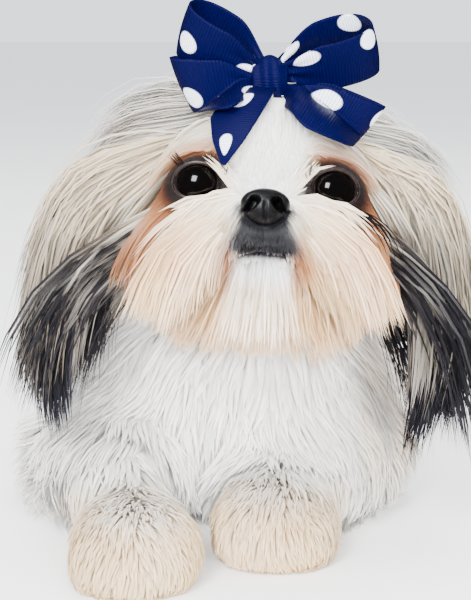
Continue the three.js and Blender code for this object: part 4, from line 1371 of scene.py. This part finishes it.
def make_sleeve(name):
    """A foreleg's hair: it falls to both sides, runs on over the paw and flares out at the elbow."""
    side, flare = SIDES[name], SLEEVE_FLARE[name]

    def guide(p, t, up):
        reach = smooth(along_arm(p, name), 10, 48)
        outer = smooth(up[:, 0] * side, 0.1, 0.7) * (1 - reach)
        target = stack(up[:, 0] * mix(0.9, 0.45, reach), mix(-0.25, -0.9, reach), mix(-0.8, -0.55, reach))
        target = target - 0.8 * (target * up).sum(-1, keepdims=True) * up
        return unit(target) + (outer * flare)[:, None] * stack(side * flare, -0.3, mix(-0.1, -0.5, t))

    roots = roots_on(["foreleg_" + name], COUNTS["foreleg_"])
    reach = smooth(along_arm(roots[0], name), 14, 44)
    coat_piece(
        "coat_foreleg_" + name, "white_coat", roots, guide, (mix(SLEEVE[name], 36, reach), 0.6, 1.1), 2.5,
        (mix(15, 8, reach), 0.6, 1), cling=0.2 + 0.5 * reach, wave=0.1, wander=0.16, face=body_facing,
    )


def make_legs():
    over_toes = lying(lambda p, t, up: stack(up[:, 0] * 0.9, -0.8, -0.6))
    for name, side in SIDES.items():
        down_thigh = lying(lambda p, t, up: stack(side * 0.2, 0.5, -0.9))
        fore = {"segments": 3, "thick": 0.28, "wave": 0.1, "wander": 0.15}
        thigh = {"thick": 0.35, "wave": 0.08}
        make_sleeve(name)
        for region, slot, guide, length, width, lift, style in (
            ("forepaw_", "cream_coat", over_toes, (17, 0.6, 1.2), 1.5, 7, fore),
            ("hindleg_", "white_coat", down_thigh, (56, 0.7, 1.1), 3.4, 16, thigh),
            ("hindpaw_", "cream_coat", over_toes, (16, 0.6, 1.2), 2.4, 7, {"segments": 3}),
        ):
            roots = roots_on([region + name], COUNTS[region])
            coat_piece(
                "coat_" + region + name, slot, roots, guide, length, width, (lift, 0.6, 1), cling=0.5,
                face=body_facing, **style,
            )


def make_tail():
    roots = roots_on(["tail"], COUNTS["tail"])
    line = np.array(TAIL_POINTS, float)
    nearest = np.argmin(np.linalg.norm(roots[0][:, None] - line[None], axis=2), 1)
    nearest = np.clip(nearest, 1, len(line) - 2)
    along = unit(line[nearest + 1] - line[nearest - 1])
    out = unit(roots[0] - line[nearest])

    def guide(p, t, up):
        start = along * 0.8 + stack(out[:, 0] * 0.7, 0, 0) + out * 0.25
        end = along * 0.35 + stack(out[:, 0] * 0.5, 0.1, -0.8)
        return mix(start, end, t[:, None])

    coat_piece(
        "coat_tail", "white_coat", roots, guide, (60, 0.6, 1.1), 2.8, (16, 0.3, 1), 5, off=OFF_ALL,
        thick=0.35, wave=0.1, face=body_facing,
    )


# Eyes, rims, nose, lips and claws.
def make_eyes():
    for name, side in SIDES.items():
        place = eye_frame(side)
        bm = bmesh.new()
        bmesh.ops.create_uvsphere(bm, u_segments=64, v_segments=48, radius=EYE_RADIUS)
        bmesh.ops.rotate(bm, verts=bm.verts, matrix=Matrix.Rotation(math.radians(90), 3, "X"))
        layer = bm.loops.layers.uv.new("iris")
        for face in bm.faces:
            for loop in face.loops:
                x, y, z = loop.vert.co
                ring = EYE_RADIUS * math.acos(max(-1, min(1, -y / EYE_RADIUS)))
                loop[layer].uv = (ring, math.atan2(z, x) / (2 * math.pi))
        for v in bm.verts:
            bulge = 0.7 * float(smooth(-v.co.y, 6.5, EYE_RADIUS))
            v.co = place(np.array(v.co) * (1 + bulge / EYE_RADIUS))
        piece_of(bm, "eyeball_" + name, EYE, "eye", "eye_" + name)


TUBE_SIDES = 8


def tube(name, path, radii, material, slot, closed=False):
    """A round body along a path."""
    count = len(path)
    bm = bmesh.new()
    rings = []
    for i, centre in enumerate(path):
        before = path[(i - 1) % count] if closed or i else path[0]
        after = path[(i + 1) % count] if closed or i < count - 1 else path[-1]
        ahead = Vector(after - before).normalized()
        lie = Matrix.Translation(Vector(centre)) @ ahead.to_track_quat("Z", "Y").to_matrix().to_4x4()
        size = float(radii[i])
        made = bmesh.ops.create_circle(bm, cap_ends=False, segments=TUBE_SIDES, radius=size, matrix=lie)
        rings.append(list({e for v in made["verts"] for e in v.link_edges}))
    for a, b in zip(rings, rings[1:] + rings[:1] if closed else rings[1:]):
        bmesh.ops.bridge_loops(bm, edges=[*a, *b])
    if not closed:
        bmesh.ops.holes_fill(bm, edges=[e for e in bm.edges if e.is_boundary], sides=0)
    bmesh.ops.recalc_face_normals(bm, faces=bm.faces)
    return piece_of(bm, name, material, slot)


def make_rims():
    wide, high = EYE_OPENING
    angles = np.linspace(0, 2 * math.pi, 60, endpoint=False)
    x, z = wide * np.cos(angles), high * np.sin(angles)
    y = -np.sqrt(np.maximum(RIM_RADIUS**2 - x * x - z * z, 1))
    for name, side in SIDES.items():
        rim = eye_frame(side)(np.stack([x, y, z], 1))
        tube("eye_rim_" + name, rim, np.full(60, 0.85), DARK_RIM, "dark_coat", closed=True)


def make_nose():
    """The leather, with a comma-shaped nostril pressed in on each side and a groove down the middle, both
    also darkened with painted shade.
    """
    mesh = moulded("nose_leather", NOSE, flesh(NOSE, 4), 0.45, 6)
    h = into_head(vertices_of(mesh))
    aside = np.abs(h[:, 0])
    front = 1 - smooth(h[:, 1], -27, -23)
    comma = np.array([[4.6, -13.6], [5.6, -15.2], [7.6, -17.0], [9.8, -18.2]])
    radii = np.array([2.5, 2.3, 1.5, 0.9])
    away = np.full(len(h), 9.0)
    for (ax, az), (bx, bz), ra, rb in zip(comma, comma[1:], radii, radii[1:]):
        along = np.array([bx - ax, bz - az])
        share = np.clip(((aside - ax) * along[0] + (h[:, 2] - az) * along[1]) / (along @ along), 0, 1)
        gap = np.hypot(aside - ax - share * along[0], h[:, 2] - az - share * along[1])
        away = np.minimum(away, gap / mix(ra, rb, share))
    hole = (1 - smooth(away, 0.45, 1.1)) * front
    groove = (1 - smooth(aside, 0, 1.3)) * (1 - smooth(h[:, 2], -16, -13)) * front
    h[:, 1] += 5.5 * hole + 0.9 * groove
    # Painted shade: the nostrils and the groove are darkened in colour as well as pressed in.
    point_colours(mesh, "shade", (1 - 0.97 * hole - 0.4 * groove)[:, None])
    set_vertices(mesh, metres(out_of_head(h)))
    finish_piece(new_object("nose_leather", mesh), LEATHER, "nose_leather", "nose")


def make_lips():
    x = np.linspace(-15, 15, 31)
    h = stack(x, -20.5 + x * x * 0.045, mouth_line(x))
    points = out_of_head(h)
    for _ in range(4):
        gap, way = outward(HEAD_FLESH, points)
        points = points - way * gap[:, None]
    tube("lip_line", points, 1.3 * np.sqrt(np.clip(1 - (x / 16) ** 2, 0.05, 1)), DARK_RIM, "dark_coat")


def make_claws():
    for kind, legs, size in (("fore", FORELEG, 1.0), ("hind", HINDLEG, 0.9)):
        for name, leg in legs.items():
            bm = bmesh.new()
            x, y, _ = leg["paw"]
            for a in TOES:
                tip = Vector((x + a * size, y - 24.5 * size + abs(a) * 0.4, 5.5 * size))
                lie = Matrix.Translation(tip) @ Matrix.Rotation(math.radians(112), 4, "X")
                root, long = 1.7 * size, 8 * size
                bmesh.ops.create_cone(
                    bm, cap_ends=True, segments=12, radius1=root, radius2=0.3, depth=long, matrix=lie
                )
            piece_of(bm, f"claws_{kind}paw_{name}", HORN, "dark_coat")


def make_lashes():
    """Short lashes over each eye, and a few long dark hairs that curve down from the left eye's corner."""
    roots = roots_on(["skull"], COUNTS["lashes"])
    h = into_head(roots[0])
    x, _, z = h.T
    aside = np.abs(x)
    ring = clear_of_eyes(roots[0], 0.8) & ~clear_of_eyes(roots[0], 2.6)
    lashes = np.flatnonzero(ring & (z > 2) & (aside < 38))[:50]
    corner = (x > 0) & (from_eye(h) < 15) & (aside > 34) & (z < 2) & (z > -9)
    strays = np.flatnonzero(corner)[:9]

    def lash_way(p, t, up):
        return head_way(stack(np.sign(into_head(p)[:, 0]) * 0.3, -0.9, mix(-0.1, 0.5, t)))

    def stray_way(p, t, up):
        return head_way(stack(mix(0.85, 0.12, t), mix(-0.5, 0.1, t), mix(-0.35, -1, t)))

    for name, chosen, way, length, width, segments in (
        ("lashes", lashes, lash_way, 3.6, 0.3, 2), ("stray_hairs", strays, stray_way, 40.0, 0.75, 6),
    ):
        coat_piece(
            name, "dark_coat", only(roots, chosen), way, (length, 0.7, 1.1), width, 8.0, segments, SILK,
            thick=0.2, clumps=400, pull=0, colours=lambda laid, region: np.broadcast_to(LID, laid.shape),
        )


# The bow. Its frame: +X to the dog's left, +Z up the bow, -Y the way it faces.
BOW_TURN = HEAD_TURN @ np.array(
    Matrix.Rotation(math.radians(15), 3, "X") @ Matrix.Rotation(math.radians(-HEAD_ROLL), 3, "Y")
)
BOW_MIDDLE = out_of_head([-0.5, 14, 56])
RIBBON_HALF = 12.2
RIBBON_THICK = 0.9
LOOPS = {
    "upper_left": {"start": [3, 1, 4], "out": [0.97, 0, 0.24], "across": [-0.1, -0.66, 0.75],
                   "length": 46, "front": 9, "back": 17, "skew": 0, "shift": (9.6, -7.9)},
    "upper_right": {"start": [-3, 1, 4], "out": [-0.87, 0, 0.49], "across": [0.42, -0.55, 0.72],
                    "length": 41, "front": 10, "back": 15, "skew": 2, "shift": (13.3, 2.3)},
    "lower_left": {"start": [3, 1, -5], "out": [0.92, -0.05, -0.38], "across": [0.38, -0.25, 0.88],
                   "length": 44, "front": 7, "back": 7, "skew": 4, "shift": (19, -6)},
    "lower_right": {"start": [-3, 1, -2], "out": [-0.99, 0.05, 0.02], "across": [0.02, -0.3, 0.95],
                    "length": 37, "front": 8, "back": 8, "skew": 5, "shift": (19.8, 5.1)},
}


def from_bow(points):
    return np.asarray(points, float) @ BOW_TURN.T + BOW_MIDDLE


def ribbon_piece(name, surface, along, across, node, shift=(0, 0), closed=False):
    """A ribbon from a grid: `surface` gives the place of each (along, across), in millimetres."""
    bm = bmesh.new()
    layer = bm.loops.layers.uv.new("ribbon")
    bmesh.ops.create_grid(bm, x_segments=along, y_segments=across, size=0.5)
    share = np.array([v.co for v in bm.verts])[:, :2] + 0.5
    points, travelled = surface(share[:, 0], share[:, 1])
    for face in bm.faces:
        for loop in face.loops:
            i = loop.vert.index
            loop[layer].uv = (travelled[i] + shift[0], (share[i, 1] - 0.5) * 2 * RIBBON_HALF + shift[1])
    for v, p in zip(bm.verts, metres(from_bow(points))):
        v.co = p
    if closed:
        bmesh.ops.remove_doubles(bm, verts=bm.verts, dist=1e-5)
    piece = new_object(name, mesh_of(bm, name))
    shade_smooth(piece.data)
    wall = piece.modifiers.new("thickness", "SOLIDIFY")
    wall.thickness = RIBBON_THICK / 1000
    wall.offset = 0
    return finish_piece(piece, RIBBON_CLOTH, "ribbon", node)


def loop_surface(style):
    start = np.array(style["start"], float)
    out = unit(np.array(style["out"], float))
    width = np.array(style["across"], float)
    width = unit(width - out * (width @ out))
    away = np.cross(width, out)
    if away[1] < 0:
        away = -away

    def surface(u, v):
        turn = 2 * math.pi * u
        swell = np.sin(turn) * np.abs(np.sin(turn / 2)) ** 0.8
        s = style["length"] * (1 - np.cos(turn)) / 2
        d = swell * np.where(swell > 0, style["back"], style["front"])
        reach = mix(0.34, 1, smooth(s, 0, style["length"] * 0.5)) * RIBBON_HALF
        side = (v - 0.5) * 2
        gather = (1 - smooth(s, 0, style["length"] * 0.55)) * 1.1
        fold = gather * np.sin(side * 7.5 + np.sign(swell)) + 0.5 * np.sin(side * 2.2 + s * 0.12)
        bow_out = 0.8 * (1 - side * side) * smooth(s, 8, 30)
        slant = style["skew"] * side * smooth(s, 0, style["length"])
        points = start + out * (s + bow_out + slant)[:, None] + width * (side * reach)[:, None]
        for _ in range(6):
            gap = OFF_BODY(from_bow(points))[0]
            points[:, 1] -= np.maximum(9 - gap, 0) * smooth(s, 3, 16)
        around = style["length"] * 2.15
        return points + away * (d + fold * 0.8)[:, None], u * around

    return surface


END_LINE = [
    [-3.0, -6, -4, 6, 6], [-9, -11, -10, 12, 9], [-14, -12.5, -19, 12, 9], [-17, -12, -29, 8, 6],
    [-20, -10.5, -40, 1, 1],
]


def end_surface(u, v):
    """The ribbon's end, through places of its middle line with its width to the right and to the left."""
    at = u * (len(END_LINE) - 1)
    cols = [np.interp(at, np.arange(len(END_LINE)), column) for column in np.transpose(END_LINE)]
    side = (v - 0.5) * 2
    x = cols[0] + np.where(side < 0, side * cols[3], side * cols[4])
    y = cols[1] + 0.7 * np.sin(side * 4 + u * 3) * (1 - u)
    points = np.stack([x, y, cols[2]], 1)
    for _ in range(8):
        gap = OFF_BODY(from_bow(points))[0]
        points[:, 1] -= np.maximum(6.5 - gap, 0) * smooth(u, 0, 0.3)
    return points, u * 42


def knot_surface(u, v):
    turn = 2 * math.pi * u
    side = (v - 0.5) * 2
    swell = 1 + 0.1 * np.cos(3 * side)
    x = 7.0 * side * (1 + 0.12 * np.cos(turn))
    y = -np.cos(turn) * 6.0 * swell * np.sqrt(np.maximum(1 - (side * 0.8) ** 2, 0))
    z = np.sin(turn) * 10.0 * swell * np.sqrt(np.maximum(1 - (side * 0.62) ** 2, 0))
    crease = 0.5 * np.sin(side * 9 + np.sin(turn))
    return np.stack([x, y + crease * np.cos(turn), z], 1), u * 52


def make_bow():
    for name, style in LOOPS.items():
        surface, shift = loop_surface(style), style["shift"]
        ribbon_piece("ribbon_" + name, surface, 110, 22, "bow_" + name, shift, closed=True)
    ribbon_piece("ribbon_end", end_surface, 50, 20, "bow_end", (11.6, 2.9))
    ribbon_piece("ribbon_knot", knot_surface, 80, 24, "bow_knot", (11, 13), closed=True)


# Light, floor and camera.
SKY_LIGHT = 1.9
GLOSS_LIGHT = 0.12
SKY_COLOUR = (0.93, 0.96, 1.0, 1)
LAMPS = {
    "window": ((-0.55, -1.15, 1.15), (0.5, 0.6), 46),
    "overhead": ((0.2, 0.2, 1.7), (1.6, 1.6), 40),
    "front fill": ((0.25, -2.1, 0.45), (1.6, 1.2), 190),
}


def make_stage():
    bm = bmesh.new()
    bmesh.ops.create_grid(bm, x_segments=1, y_segments=1, size=40)
    floor = new_object("floor", mesh_of(bm, "floor"))
    tones = (0.3, 0.90), (0.7, 0.93)
    floor.data.materials.append(grained("pale floor", (3, 3, 3), tones, 0.9, 0.2, detail=2.0))
    floor.visible_glossy = False

    world = bpy.data.worlds.new("studio")
    world.use_nodes = True
    tree = world.node_tree
    path = tree.nodes.new("ShaderNodeLightPath")
    dimmed = tree.nodes.new("ShaderNodeMath")
    dimmed.operation = "MULTIPLY_ADD"
    tree.links.new(path.outputs["Is Glossy Ray"], dimmed.inputs[0])
    dimmed.inputs[1].default_value = GLOSS_LIGHT - SKY_LIGHT
    dimmed.inputs[2].default_value = SKY_LIGHT
    sky = tree.nodes["Background"]
    tree.links.new(dimmed.outputs[0], sky.inputs[1])
    sky.inputs[0].default_value = SKY_COLOUR
    bpy.context.scene.world = world
    for name, (place, size, power) in LAMPS.items():
        light = bpy.data.lights.new(name, "AREA")
        light.shape = "RECTANGLE"
        light.size, light.size_y = size
        light.energy = power
        lamp = new_object(name, light)
        lamp.location = place
        lamp.visible_glossy = name == "window"
        lamp.rotation_mode = "QUATERNION"
        lamp.rotation_quaternion = (Vector((0, 0, 0.12)) - Vector(place)).to_track_quat("-Z", "Y")


CAMERA_PLACE = [0, -620, 222]
CAMERA_DIP = 11.0
FOCAL_PIXELS = 1367
FRAME_HEIGHT = 600


def make_camera():
    data = bpy.data.cameras.new("camera")
    data.sensor_width = 36
    data.lens = 36 * FOCAL_PIXELS / FRAME_HEIGHT
    camera = new_object("camera", data)
    camera.location = metres(CAMERA_PLACE)
    camera.rotation_euler = (math.radians(90 - CAMERA_DIP), 0, 0)
    bpy.context.scene.camera = camera


BOW_SHADOW, BOW_FRONT = bow_shadow()
make_stage()
make_camera()
finish_piece(SKIN, UNDERFUR, "white_coat", "head", *[name for name in REGIONS if name != "skull"])
set_vertices(SKIN.data, metres(vertices_of(SKIN.data)))
make_eyes()
make_rims()
make_nose()
make_lips()
make_claws()
make_bow()
make_lashes()
make_face()
make_cheeks()
make_moustache()
make_beard()
make_topknot()
make_ears()
make_trunk()
make_legs()
make_tail()
